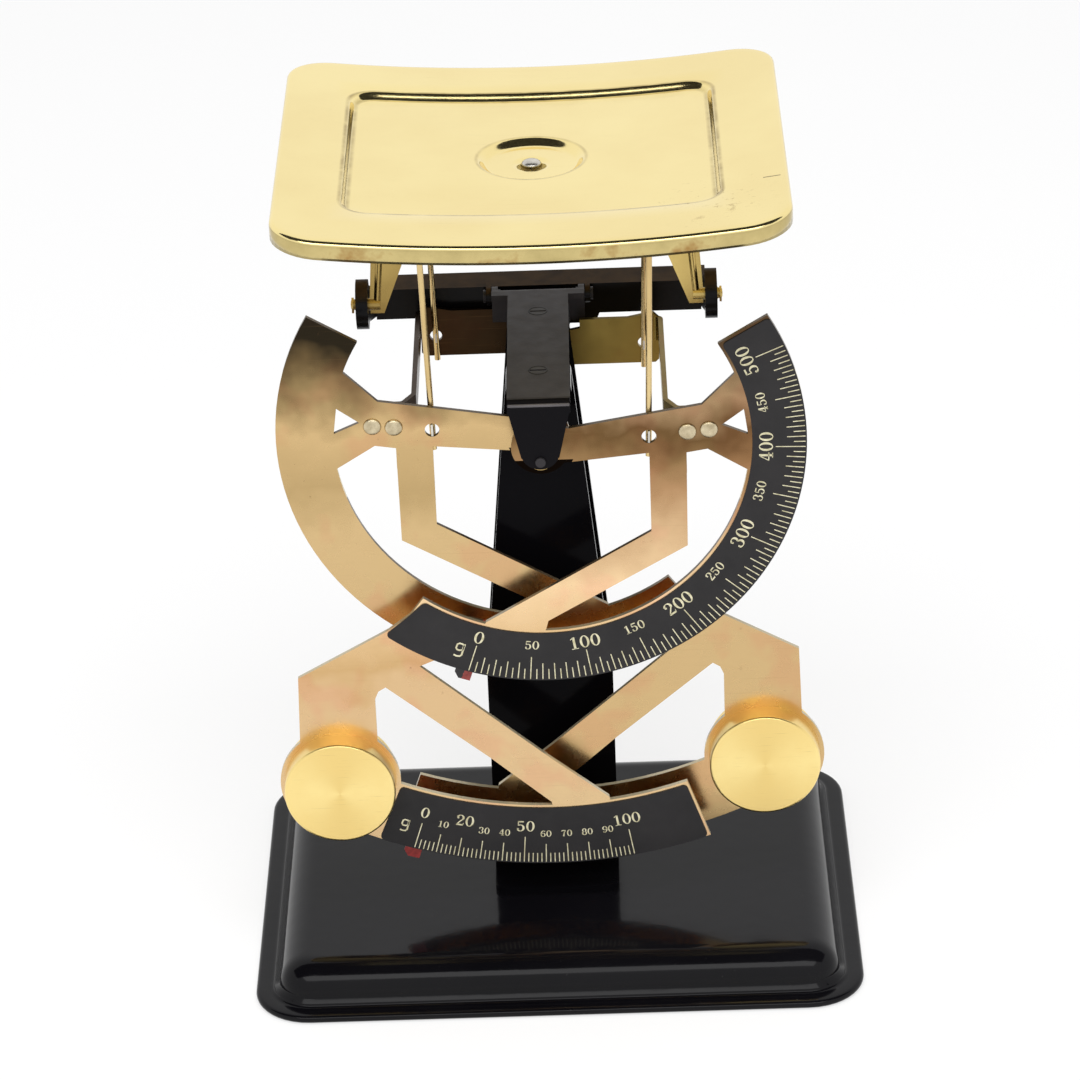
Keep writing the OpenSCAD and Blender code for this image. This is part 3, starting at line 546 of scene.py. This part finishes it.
def polar(radius, angle):
    """X and Z in mm at an angle in degrees from straight down, positive to the right."""
    a = math.radians(angle)
    return radius * math.sin(a), -radius * math.cos(a)


# Pan and base, pressed from sheet

SHEET_STEPS = 288

PAN_CURVE_R = 430 * MM
PRESS = 1.6 * MM
DIMPLE_FLOOR_R = 10.4 * MM
PAN_CORNER_R = 11 * MM
LIP_ROLL_R = 1.3 * MM
LIP_DEPTH = 4.5 * MM
PAN_SHEET = 0.6 * MM


def pan_rings():
    """The rings of the pan from its middle outwards: a kind, a size and how deep it is pressed."""
    rings = [("disc", r * MM, 2 * PRESS) for r in (2.2, 5.0, 8.5, 9.8)]
    rings.append(("disc", DIMPLE_FLOOR_R, 2 * PRESS))
    for i in range(1, 10):
        t = i / 9
        r = DIMPLE_FLOOR_R + (DIMPLE_R - DIMPLE_FLOOR_R) * t
        rings.append(("disc", r, PRESS * (2 - smoothstep(t))))
    rings += [("disc", DIMPLE_R + k * MM, PRESS) for k in (0.4, 3, 8)]
    rings.append(("panel", -PANEL_WALL - 3 * MM, PRESS))
    for i in range(9):
        t = i / 8
        rings.append(("panel", -PANEL_WALL * (1 - t), PRESS * (1 - smoothstep(t))))
    rings += [("rim", -k * MM, 0.0) for k in (12, 6, 3)]
    for i in range(6):
        a = math.pi / 2 * i / 5
        rings.append(("rim", -LIP_ROLL_R * (1 - math.sin(a)), LIP_ROLL_R * (1 - math.cos(a))))
    return rings + [("rim", 0.0, LIP_DEPTH * 0.6), ("rim", 0.0, LIP_DEPTH)]


def pan_piece(material):
    """The pan, bent about Y, with its pressed panel, the dimple in it and a rolled lip."""
    low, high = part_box("pan")
    centre = Vector(((low.x + high.x) / 2, (low.y + high.y) / 2, 0))
    w, d = high.x - low.x, high.y - low.y
    rise = PAN_CURVE_R - math.sqrt(PAN_CURVE_R ** 2 - (w / 2) ** 2)
    middle_z = high.z - rise
    rings = pan_rings()
    vertices = []
    for kind, size, press in rings:
        for i in range(SHEET_STEPS):
            a = 2 * math.pi * (i + 0.5) / SHEET_STEPS
            if kind == "disc":
                reach = size
            elif kind == "panel":
                reach = rounded_reach(PANEL_W + 2 * size, PANEL_D + 2 * size,
                                      PANEL_CORNER_R + size * 0.6, a)
            else:
                reach = rounded_reach(w + 2 * size, d + 2 * size, max(PAN_CORNER_R + size, MM), a)
            x, y = reach * math.cos(a), reach * math.sin(a)
            z = middle_z + PAN_CURVE_R - math.sqrt(PAN_CURVE_R ** 2 - x * x) - press
            vertices.append(centre + Vector((x, y, z)))
    faces = ring_faces(len(rings), SHEET_STEPS)
    piece = mesh_object("pan_sheet", vertices, faces, "pan", material)
    thicken(piece, PAN_SHEET, piece.data.polygons[0].normal.z > 0)
    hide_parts("pan")


RIM_W = 4.7 * MM
RIM_T = 2.0 * MM
RIM_HOLLOW_R = 0.9 * MM
BASE_CORNER_R = 14.0 * MM
BASE_TOP_CORNER_R = 1.8 * MM
BASE_DRAFT = 1.2 * MM
BASE_ROLL_R = 7.6 * MM
BASE_SHEET = 0.95 * MM


def base_profile(height):
    """(inset, height) from the table up the rolled rim, its hollow and the wide soft shoulder."""
    edge = RIM_T / 2
    profile = [(edge * 1.6, 0.0), (edge, 0.0)]
    for i in range(1, 9):
        a = math.pi * i / 8
        profile.append((edge - edge * math.sin(a), edge - edge * math.cos(a)))
    profile.append((RIM_W - RIM_HOLLOW_R - 0.5 * MM, RIM_T))
    for i in range(5):
        a = math.pi / 2 * i / 4
        profile.append((RIM_W - RIM_HOLLOW_R * (1 - math.sin(a)),
                        RIM_T + RIM_HOLLOW_R * (1 - math.cos(a))))
    shoulder = RIM_W + BASE_DRAFT
    for i in range(15):
        a = math.pi / 2 * i / 14
        profile.append((shoulder + BASE_ROLL_R * (1 - math.cos(a)),
                        height - BASE_ROLL_R * (1 - math.sin(a))))
    for k in (0.6, 2.0, 8.0, 25.0, 40.0):
        profile.append((shoulder + BASE_ROLL_R + k * MM, height))
    return profile


def base_piece(material):
    low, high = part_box("base_shell")
    middle_x, middle_y = (low.x + high.x) / 2, (low.y + high.y) / 2
    w, d = high.x - low.x, high.y - low.y
    profile = base_profile(high.z - low.z)
    vertices = []
    for inset, z in profile:
        corner = min(max(BASE_CORNER_R - inset, BASE_TOP_CORNER_R), d / 2 - inset)
        for i in range(SHEET_STEPS):
            a = 2 * math.pi * (i + 0.5) / SHEET_STEPS
            reach = rounded_reach(w - 2 * inset, d - 2 * inset, corner, a)
            vertices.append(Vector((middle_x + reach * math.cos(a),
                                    middle_y + reach * math.sin(a), low.z + z)))
    faces = ring_faces(len(profile), SHEET_STEPS)
    faces.append([(len(profile) - 1) * SHEET_STEPS + i for i in range(SHEET_STEPS)])
    piece = mesh_object("base_pressing", vertices, faces, "stand", material)
    thicken(piece, BASE_SHEET, piece.data.polygons[-1].normal.z > 0)
    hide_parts("base_shell")


# Rivets, screw rims and other small pieces

def dome_profile(radius, height, base=0.0, mark=0.0):
    """A dome from its top down to its rim, with a set mark of some depth in the middle."""
    profile = []
    for i in range(15):
        r = radius * i / 14
        dome = height * math.sqrt(max(1 - (r / radius) ** 2, 0))
        profile.append((r, base + dome - mark * math.exp(-(r / (0.2 * radius)) ** 2)))
    return profile


STRAP_RIVETS = ((34.8, 2.9), (39.9, 3.3))
STRAP_RIVET_R = 2.2 * MM
STRAP_RIVET_H = 0.9 * MM
STRAP_RIVET_MARK = 0.22 * MM
RIVET_SHANK_R = 1.1 * MM
RIVET_TAIL_R = 1.45 * MM
RIVET_TAIL_H = 0.4 * MM


def strap_rivets(side, body, plate, node, material):
    """The two rivets through a lever's plate and strip; side is -1 on the left, 1 on the right."""
    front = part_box(plate)[0].y
    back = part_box(node)[1].y
    end = front - back
    tail = [(RIVET_SHANK_R, -0.1 * MM), (RIVET_SHANK_R, end + RIVET_TAIL_H),
            (RIVET_TAIL_R, end + RIVET_TAIL_H), (RIVET_SHANK_R, end + 0.1 * MM), (0.0, end)]
    head = dome_profile(STRAP_RIVET_R, STRAP_RIVET_H, 0.0, STRAP_RIVET_MARK)
    profiles = [(head + tail, at_pivot(side * x, z, front), (0, -1, 0)) for x, z in STRAP_RIVETS]
    piece = turned_piece(body + "_strap_rivets", profiles, body, material)
    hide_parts(node)


PAN_RIVET_R = 2.4 * MM
PAN_RIVET_H = 1.2 * MM


def pan_rivet(material):
    low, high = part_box("pan_rivet")
    height = high.z - low.z
    foot = Vector(((low.x + high.x) / 2, (low.y + high.y) / 2, low.z))
    profile = dome_profile(PAN_RIVET_R, PAN_RIVET_H, height - PAN_RIVET_H)
    profile += [(RIVET_SHANK_R, height - PAN_RIVET_H - 0.1 * MM), (RIVET_SHANK_R, 0.6 * MM),
                (1.8 * MM, 0.5 * MM), (1.2 * MM, 0.1 * MM), (0.0, 0.0)]
    piece = turned_piece("pan_centre_rivet", [(profile, foot, (0, 0, 1))], "pan", material)
    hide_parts("pan_rivet")


def screw_rings(material):
    """The rims of the two countersunk screws on the bracket, dark with wear."""
    low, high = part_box("bracket_screws")
    r = (high.x - low.x) / 2
    rim = [(r * 0.9, 0.0), (r * 0.98, 0.05 * MM), (r * 1.06, 0.05 * MM), (r * 1.12, -0.02 * MM)]
    top = high.z + 0.01 * MM
    profiles = [(rim, (low.x + r, y, top), (0, 0, 1)) for y in (low.y + r, high.y - r)]
    turned_piece("screw_rims", profiles, "stand", material)


RIDGE_HALF = 7.3 * MM
RIDGE_R = 0.4 * MM


def tongue_ridge(material):
    """A ridge across the bend at the top of the tongue, in lighter steel as a painted highlight line.
    """
    low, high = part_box("top_bracket")
    start = Vector(((low.x + high.x) / 2 - RIDGE_HALF, low.y + 0.42 * MM, high.z - 1.15 * MM))
    end_r = RIDGE_R - 0.02 * MM
    profile = [(0.0, 0.0), (end_r, 0.1 * MM), (RIDGE_R, RIDGE_HALF),
               (end_r, 2 * RIDGE_HALF - 0.1 * MM), (0.0, 2 * RIDGE_HALF)]
    turned_piece("tongue_ridge", [(profile, start, (1, 0, 0))], "stand", material, 16)


TAB_BUTTON = ((0.0, 0.0), (1.3, 0.05), (1.35, 0.7), (1.0, 1.15), (0.0, 1.3))
TAB_OUTLINE = ((-0.9, -1.9), (0.9, -1.7), (1.5, -0.4), (0.6, 0.2), (1.2, 1.3), (-0.2, 1.9), (-1.1, 0.6))
TAB_FROM, TAB_TO = 0.5, 1.0


def knife_tabs(material):
    """The ends of the pan's pivots outside the ears, each with a small flattened wing."""
    pin = JOINTS["pan_level"]["pos_m"]
    low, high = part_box("guide_yoke")
    n = len(TAB_OUTLINE)
    for side, name, face in ((-1, "left", low.x), (1, "right", high.x)):
        start = Vector((face + side * 0.15 * MM, pin[1], pin[2]))
        button = [(r * MM, h * MM) for r, h in TAB_BUTTON]
        vertices, faces = lathe(button, start, (side, 0, 0), 24)
        base = len(vertices)
        for x in (TAB_FROM, TAB_TO):
            vertices += [start + Vector((side * x, y, z)) * MM for y, z in TAB_OUTLINE]
        faces += [[base + k * n + i for i in range(n)] for k in (0, 1)]
        for i in range(n):
            j = (i + 1) % n
            faces.append([base + i, base + j, base + n + j, base + n + i])
        mesh_object("pan_pivot_end_" + name, vertices, faces, "pan", material, False)


# Dial faces and marks

DIAL_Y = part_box("upper_dial")[0].y
DIAL_SHEET = 0.29 * MM
DIAL_CORNER_R = 1.2
MARK_LIFT = 0.03 * MM


def dial_face(name, node, radii, ends, material):
    """A thin dial sheet between two radii in mm, with rounded corners.

    Each end has an angle at the inner and one at the outer radius."""
    inner, outer = radii
    start, end = ends
    corner = DIAL_CORNER_R
    middle_r = (inner + outer) / 2
    span = math.radians((end[0] + end[1] - start[0] - start[1]) / 2) * middle_r
    near = [corner * (1 - math.cos(math.pi / 2 * i / 8)) for i in range(9)]
    places = near + [corner + (span - 2 * corner) * i / 90 for i in range(1, 90)]
    places += [span - n for n in reversed(near)]
    rows = 6
    vertices, faces = [], []
    for s in places:
        to_end = min(s, span - s)
        inset = 0.0
        if to_end < corner:
            inset = corner - math.sqrt(max(corner ** 2 - (corner - to_end) ** 2, 0))
        for k in range(rows + 1):
            r = inner + inset + (outer - inner - 2 * inset) * k / rows
            v = (r - inner) / (outer - inner)
            a0 = start[0] + (start[1] - start[0]) * v
            a1 = end[0] + (end[1] - end[0]) * v
            x, z = polar(r, a0 + (a1 - a0) * s / span)
            vertices.append(at_pivot(x, z, DIAL_Y))
    for i in range(len(places) - 1):
        for k in range(rows):
            a = i * (rows + 1) + k
            faces.append([a, a + 1, a + rows + 2, a + rows + 1])
    piece = mesh_object(name, vertices, faces, "right_lever", material, False)
    thicken(piece, DIAL_SHEET, piece.data.polygons[0].normal.y < 0)
    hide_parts(node)


class Marks:
    """Collects flat strips in the dial plane."""

    def __init__(self):
        self.vertices = []
        self.faces = []

    def strip(self, points, widths):
        """A ribbon along points in mm, with a half width at each."""
        start = len(self.vertices)
        for i, (x, z) in enumerate(points):
            a = Vector(points[max(i - 1, 0)])
            b = Vector(points[min(i + 1, len(points) - 1)])
            along = (b - a).normalized()
            across = Vector((-along.y, along.x)) * widths[i]
            for sign in (1, -1):
                corner = at_pivot(x + sign * across.x, z + sign * across.y, DIAL_Y - MARK_LIFT)
                self.vertices.append(corner)
        for i in range(len(points) - 1):
            k = start + 2 * i
            self.faces.append([k, k + 1, k + 3, k + 2])

    def finish(self, name, material):
        mesh_object(name, self.vertices, self.faces, "right_lever", material, False)


# Half widths of the strokes in a figure 1 high

THICK = 0.085
THIN = 0.028
SERIF = 0.03


def arc(cx, cz, rx, rz, start, end, thick=THICK, thin=THIN, steps=18):
    """A ribbon along an ellipse, thick on its upright sides and thin at top and bottom."""
    points, widths = [], []
    for i in range(steps + 1):
        a = math.radians(start + (end - start) * i / steps)
        points.append((cx + rx * math.cos(a), cz + rz * math.sin(a)))
        widths.append(thin + (thick - thin) * abs(math.cos(a)) ** 1.5)
    return points, widths


def dot(cx, cz, r=0.035, half=0.045):
    return arc(cx, cz, r, r, 0, 360, half, half, 10)


def bar(*points, half):
    return list(points), [half] * len(points)


def leaning(*points, half):
    return bar(*[(x - 0.04 * z, z) for x, z in points], half=half)


# Ribbons of bold serif figures in a box 0.62 wide and 1 high

GLYPHS = {
    "0": [arc(0.31, 0.5, 0.22, 0.46, 0, 360, steps=36)],
    "1": [bar((0.33, 0.02), (0.33, 0.97), half=THICK),
          bar((0.13, 0.8), (0.31, 0.95), half=SERIF),
          bar((0.12, 0.03), (0.54, 0.03), half=SERIF)],
    "2": [arc(0.3, 0.72, 0.2, 0.24, 170, -35),
          bar((0.46, 0.6), (0.1, 0.09), half=0.045),
          bar((0.07, 0.07), (0.54, 0.07), half=0.07),
          bar((0.53, 0.05), (0.56, 0.24), half=0.025),
          dot(0.14, 0.7, 0.04)],
    "3": [arc(0.28, 0.74, 0.19, 0.22, 160, -70),
          arc(0.28, 0.27, 0.22, 0.25, 75, -160),
          dot(0.12, 0.77, half=0.04),
          dot(0.1, 0.24, half=0.04)],
    "4": [bar((0.4, 0.02), (0.4, 0.97), half=THICK),
          bar((0.36, 0.95), (0.06, 0.3), half=SERIF),
          bar((0.05, 0.29), (0.58, 0.29), half=0.035),
          bar((0.24, 0.03), (0.56, 0.03), half=SERIF)],
    "5": [bar((0.13, 0.53), (0.13, 0.95), half=0.035),
          bar((0.12, 0.91), (0.5, 0.91), half=0.06),
          arc(0.28, 0.32, 0.22, 0.29, 125, -150),
          dot(0.11, 0.22)],
    "6": [arc(0.31, 0.3, 0.21, 0.27, 0, 360, steps=30),
          arc(0.42, 0.42, 0.33, 0.54, 185, 95),
          dot(0.47, 0.86)],
    "7": [bar((0.09, 0.9), (0.55, 0.9), half=0.065),
          bar((0.1, 0.96), (0.08, 0.74), half=0.025),
          ([(0.53, 0.88), (0.36, 0.55), (0.28, 0.02)], [0.04, 0.06, 0.09])],
    "8": [arc(0.31, 0.74, 0.18, 0.22, 0, 360, THICK * 0.9, THIN + 0.015, 30),
          arc(0.31, 0.28, 0.22, 0.25, 0, 360, THICK, THIN + 0.015, 30)],
    "9": [arc(0.31, 0.7, 0.21, 0.27, 0, 360, steps=30),
          arc(0.2, 0.58, 0.33, 0.54, 5, -85),
          dot(0.15, 0.14)],
    "g": [leaning((0.3, 0.72), (0.16, 0.72), (0.06, 0.62), (0.04, 0.34), (0.12, 0.22),
                  (0.28, 0.22), (0.42, 0.3), (0.44, 0.6), (0.38, 0.7), (0.3, 0.72), half=0.06),
          leaning((0.46, 0.76), (0.46, -0.06), (0.38, -0.2), (0.2, -0.24), (0.02, -0.2), half=0.06)],
}
GLYPH_SPREAD = 1.17
GLYPH_PITCH = 0.66


def figure(marks, text, radius, angle, height):
    """Writes text centred at a polar place, upright along the radius."""
    x0, z0 = polar(radius, angle)
    a = math.radians(angle)
    right = Vector((math.cos(a), math.sin(a)))
    up = Vector((-math.sin(a), math.cos(a)))
    wide = height * GLYPH_SPREAD
    start = -GLYPH_PITCH * wide * len(text) / 2
    for k, character in enumerate(text):
        for points, widths in GLYPHS[character]:
            placed = []
            for px, pz in points:
                u = start + (k * GLYPH_PITCH + px + 0.02) * wide
                p = Vector((x0, z0)) + right * u + up * (pz - 0.5) * height
                placed.append((p.x, p.y))
            marks.strip(placed, [w * height for w in widths])


# Radii, lengths and heights in mm from the pivot, angles in degrees from straight down

UPPER_RADII = (50.1, 63.0)
UPPER_ENDS = ((-35.9, -38.6), (120.4, 120.4))
LOWER_RADII = (99.2, 115.0)
LOWER_ENDS = ((-22.2, -22.2), (19.2, 19.2))
TICK_W = 0.24
TICK_GAP = 0.35
UPPER_TICKS = ((100, 7.4), (50, 6.4), (10, 4.7), (5, 3.1))
LOWER_TICKS = ((50, 7.5), (10, 5.5), (2, 2.9))
UPPER_FIGURES_R = 53.3
UPPER_FIGURES_H = (3.4, 2.35)
LOWER_BIG = (0, 20, 50, 100)
LOWER_FIGURES_R = (104.4, 106.5)
LOWER_FIGURES_H = (3.05, 1.85)


def upper_angle(grams):
    w = grams / 100
    return -18.1 + 28.0 * w - 0.35 * w * w


def lower_angle(grams):
    return -17.75 + 0.275 * grams


def ticks(marks, last, radius, angle, lengths):
    """Ticks from 0 to last grams; lengths are (step in grams, length in mm), widest step first."""
    for grams in range(0, last + 1, lengths[-1][0]):
        length = next(size for step, size in lengths if grams % step == 0)
        ends = [polar(radius - length, angle(grams)), polar(radius - TICK_GAP, angle(grams))]
        marks.strip(ends, [TICK_W / 2] * 2)


def dial_marks(material):
    marks = Marks()
    ticks(marks, 500, UPPER_RADII[1], upper_angle, UPPER_TICKS)
    for grams in range(0, 501, 50):
        small = grams % 100 != 0
        figure(marks, str(grams), UPPER_FIGURES_R, upper_angle(grams), UPPER_FIGURES_H[small])
    figure(marks, "g", 57.0, -21.5, 3.7)
    ticks(marks, 100, LOWER_RADII[1], lower_angle, LOWER_TICKS)
    for grams in range(0, 101, 10):
        small = grams not in LOWER_BIG
        figure(marks, str(grams), LOWER_FIGURES_R[small], lower_angle(grams), LOWER_FIGURES_H[small])
    figure(marks, "g", 108.4, -19.7, 3.3)
    marks.finish("dial_marks", material)


# Studio and camera

CAMERA_AT = Vector((14.17, -977.44, 610.32)) * MM
CAMERA_PITCH = 27.59
CAMERA_TURN = 0.91
CAMERA_ROLL = -2.25
CAMERA_LENS = 150.03

FLOOR_WHITE = 0.6
WORLD_LIGHT = 0.75
WORLD_SEEN = 1.0
CARD_Z = 1.7
CARD_FRONT = -1.2
STRIP_LIGHT = 3.5
KEY_POWER = 8.5


def camera():
    data = bpy.data.cameras.new("camera")
    data.lens = CAMERA_LENS
    data.sensor_width = 36
    data.clip_end = 20
    item = bpy.data.objects.new("camera", data)
    bpy.context.scene.collection.objects.link(item)
    turn = Matrix.Rotation(math.radians(CAMERA_TURN), 4, "Z")
    tilt = Matrix.Rotation(math.radians(90 - CAMERA_PITCH), 4, "X")
    roll = Matrix.Rotation(math.radians(CAMERA_ROLL), 4, "Z")
    item.matrix_world = Matrix.Translation(CAMERA_AT) @ turn @ tilt @ roll
    bpy.context.scene.camera = item


def area_light(name, place, target, size, power):
    """A lamp that lights surfaces but doesn't show in mirror reflections."""
    data = bpy.data.lights.new(name, "AREA")
    data.shape = "RECTANGLE"
    data.size, data.size_y = size
    data.energy = power
    item = bpy.data.objects.new(name, data)
    item.location = place
    item.visible_glossy = False
    item.rotation_euler = (Vector(target) - Vector(place)).to_track_quat("-Z", "Y").to_euler()
    bpy.context.scene.collection.objects.link(item)


def stage_plane(name, x, near, far, z, material, only_mirrored=False):
    """A level plane from -x to x and from near to far in Y."""
    mesh = bpy.data.meshes.new(name)
    corners = [(-x, near, z), (x, near, z), (x, far, z), (-x, far, z)]
    mesh.from_pydata(corners, [], [[0, 1, 2, 3]])
    item = bpy.data.objects.new(name, mesh)
    mesh.materials.append(material)
    bpy.context.scene.collection.objects.link(item)
    if only_mirrored:
        item.visible_camera = False
        item.visible_diffuse = False
        item.visible_shadow = False


def seen_directly(tree):
    """1 for camera, glossy and transmission rays."""
    path = tree.nodes.new("ShaderNodeLightPath")
    result = path.outputs["Is Camera Ray"]
    for kind in ("Is Glossy Ray", "Is Transmission Ray"):
        node = tree.nodes.new("ShaderNodeMath")
        node.operation = "MAXIMUM"
        tree.links.new(result, node.inputs[0])
        tree.links.new(path.outputs[kind], node.inputs[1])
        result = node.outputs[0]
    return result


def floor_material():
    f = Finish("pale_floor", Roughness=0.6)
    f.drive("Base Color", f.ramp(f.noise(0.4, 2.0), [(0.3, (0.93, 0.93, 0.935)), (0.7, 0.95)]))
    glow = f.add("ShaderNodeEmission")
    glow.inputs["Color"].default_value = (1, 1, 1, 1)
    mix = f.add("ShaderNodeMixShader")
    f.link(f.times(seen_directly(f.tree), FLOOR_WHITE), mix.inputs["Fac"])
    f.link(f.shader.outputs[0], mix.inputs[1])
    f.link(glow.outputs[0], mix.inputs[2])
    f.surface(mix.outputs[0])
    return f.material


def card_material():
    f = Finish("dark_card", Roughness=0.9)
    f.drive("Base Color", f.ramp(f.noise(0.3, 2.0), [(0.3, 0.02), (0.7, 0.03)]))
    return f.material


def strip_material():
    f = Finish("bright_strip")
    glow = f.add("ShaderNodeEmission")
    f.link(f.ramp(f.noise(0.5, 2.0), [(0.3, 0.94), (0.7, 1.0)]), glow.inputs["Color"])
    glow.inputs["Strength"].default_value = STRIP_LIGHT
    f.surface(glow.outputs[0])
    return f.material


def world():
    """White all around, a little dimmer as light than as it is seen."""
    scene_world = bpy.data.worlds.new("studio")
    bpy.context.scene.world = scene_world
    scene_world.use_nodes = True
    tree = scene_world.node_tree
    light = tree.nodes["Background"]
    seen = tree.nodes.new("ShaderNodeBackground")
    for node, strength in ((light, WORLD_LIGHT), (seen, WORLD_SEEN)):
        node.inputs["Color"].default_value = (1, 1, 1, 1)
        node.inputs["Strength"].default_value = strength
    mix = tree.nodes.new("ShaderNodeMixShader")
    tree.links.new(seen_directly(tree), mix.inputs["Fac"])
    tree.links.new(light.outputs[0], mix.inputs[1])
    tree.links.new(seen.outputs[0], mix.inputs[2])
    tree.links.new(mix.outputs[0], tree.nodes["World Output"].inputs["Surface"])


def studio():
    """A white floor and surround, a dark card overhead and a bright strip in front of the card."""
    bpy.context.scene.view_settings.view_transform = "Standard"
    world()
    stage_plane("floor", 4, -4, 6, 0, floor_material())
    stage_plane("ceiling", 2.5, CARD_FRONT, 0.5, CARD_Z, card_material(), True)
    stage_plane("strip", 1.2, CARD_FRONT - 1, CARD_FRONT, CARD_Z, strip_material(), True)
    area_light("key", (0, -0.42, 1.15), (0, 0, 0.06), (1.0, 0.6), KEY_POWER)


camera()
studio()


# Finishes on the carried-over nodes

def give(material, *names):
    for name in names:
        item = NODES[name]
        item.data.materials.clear()
        item.data.materials.append(material)


def soften(width, segments, *names):
    """Eases the sharp edges of sheet pieces."""
    for name in names:
        bevel = NODES[name].modifiers.new("eased", "BEVEL")
        bevel.width = width
        bevel.segments = segments
        bevel.limit_method = "ANGLE"
        bevel.angle_limit = math.radians(40)


# Colour bands by height in mm over the pivot: painted shade, darkest high up under the pan, painted
# reflection bands and some tarnish. The strips' dark browns are painted shade.
LEFT_PLATE_SHADE_BANDS = (
    (-110, (0.66, 0.46, 0.22)), (-62, (0.64, 0.45, 0.22)), (-26, (0.67, 0.475, 0.235)),
    (-13, (0.53, 0.37, 0.17)), (2, (0.66, 0.46, 0.22)), (10, (0.34, 0.235, 0.105)),
    (17, (0.15, 0.1, 0.045)), (25, (0.026, 0.02, 0.012)))
RIGHT_PLATE_SHADE_BANDS = (
    (-110, (0.76, 0.55, 0.3)), (-66, (0.73, 0.5, 0.27)), (-60, (0.66, 0.43, 0.2)),
    (-38, (0.92, 0.66, 0.38)), (-14, (0.47, 0.275, 0.135)), (-4, (0.31, 0.185, 0.08)),
    (3, (0.165, 0.092, 0.036)), (10, (0.4, 0.26, 0.135)), (24, (0.1, 0.06, 0.03)))
LEFT_STRIP_SHADE_BANDS = ((-20, (0.05, 0.03, 0.015)), (20, (0.036, 0.021, 0.011)))
RIGHT_STRIP_SHADE_BANDS = ((-20, (0.4, 0.3, 0.1)), (-4, (0.24, 0.17, 0.045)), (20, (0.17, 0.12, 0.03)))

POINTER_TIP = at_pivot(*polar(64, -18.8), 0)
TONGUE_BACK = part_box("top_bracket")[0].y + 1.9 * MM

black = enamel("black_enamel", 0.12, 0.11)
steel = bright_steel("plain_steel", (0.5, 0.47, 0.42), (0.78, 0.75, 0.68))
rivet_steel = bright_steel("strap_rivet_steel", (0.46, 0.38, 0.24), (0.74, 0.64, 0.44))
bracket_brass = aged_brass("bracket_brass", (0.62, 0.46, 0.16), (0.3, 0.2, 0.06),
                           (0.12, 0.06, 0.02), 0.00001)
pan_gold = pan_finish("pan_gold")
dial = dial_paint("dial_paint")

give(black, "base_shell", "foot_rivets")
give(enamel("column_enamel", 0.0, 0.035), "column_front", "column_rear")
give(crossbar_enamel("crossbar_enamel"), "guide_yoke")
give(dark_steel("satin_bracket", (0.042, 0.038, 0.041), 0.0009, 0.00002, TONGUE_BACK),
     "top_bracket", "bracket_nuts")
give(dark_steel("screw_steel", (0.05, 0.047, 0.048), 0.0006, 0.00002), "bracket_screws")
give(dark_steel("dark_pin", (0.045, 0.042, 0.045), 0.0006, 0.00002),
     "front_pivot_pin", "yoke_hinge_pins")
give(steel, "rear_pivot_pin", "left_weight_rivet", "right_weight_rivet", "pointer_rivets",
     "left_knives", "right_knives", "pan_bracket_rivets", "pan_rivet", "left_rivets", "right_rivets")
give(graded_brass("left_plate_shaded_brass", LEFT_PLATE_SHADE_BANDS, 0.2), "left_plate")
give(graded_brass("right_plate_shaded_brass", RIGHT_PLATE_SHADE_BANDS, 0.2), "right_plate")
give(graded_brass("left_strip_shaded_brass", LEFT_STRIP_SHADE_BANDS, 0.25, False), "left_yoke_strip")
give(graded_brass("right_strip_shaded_brass", RIGHT_STRIP_SHADE_BANDS, 0.25, False), "right_yoke_strip")
give(aged_brass("bush_brass", (0.5, 0.36, 0.15), (0.4, 0.26, 0.1), (0.1, 0.05, 0.02), 0.000004),
     "left_front_bush", "left_rear_bush", "right_front_bush", "right_rear_bush")
give(pan_gold, "pan", "pan_strap")
give(bracket_brass, "pan_bracket_left", "pan_bracket_right")
give(turned_brass("disc_brass", middle("right_weight_front")),
     "left_weight_front", "left_weight_rear", "right_weight_front", "right_weight_rear")
give(aged_brass("wire_gold", (0.78, 0.6, 0.3), (0.6, 0.42, 0.18), (0.15, 0.08, 0.03), 0.000004),
     "left_stirrup", "right_stirrup")
give(dial, "upper_dial", "lower_dial")
give(tipped_paint("upper_pointer_red", POINTER_TIP, POINTER_TIP.x + 0.2 * MM), "upper_pointer")
give(flat_paint("lower_pointer_red", 0.45, [(0.3, (0.2, 0.015, 0.015)), (0.7, (0.42, 0.04, 0.035))]),
     "lower_pointer")

soften(0.12 * MM, 2, "left_plate", "right_plate", "left_yoke_strip", "right_yoke_strip", "top_bracket")
soften(0.35 * MM, 3, "guide_yoke")
soften(0.4 * MM, 3, "left_weight_front", "right_weight_front", "left_weight_rear", "right_weight_rear")

base_piece(black)
pan_piece(pan_gold)
pan_rivet(steel)
strap_rivets(-1, "left_lever", "left_plate", "left_rivets", rivet_steel)
strap_rivets(1, "right_lever", "right_plate", "right_rivets", rivet_steel)
screw_rings(dark_steel("screw_rim_steel", (0.014, 0.013, 0.014), 0.0006, 0.00001))
# The ridge's lighter steel is a painted highlight.
tongue_ridge(dark_steel("ridge_highlight_steel", (0.16, 0.15, 0.155), 0.0006, 0.00001))
knife_tabs(bracket_brass)
dial_face("upper_dial_face", "upper_dial", UPPER_RADII, UPPER_ENDS, dial)
dial_face("lower_dial_face", "lower_dial", LOWER_RADII, LOWER_ENDS, dial)
dial_marks(flat_paint("marks_cream", 0.6, [(0.35, (0.55, 0.5, 0.3)), (0.6, (0.8, 0.75, 0.52))]))
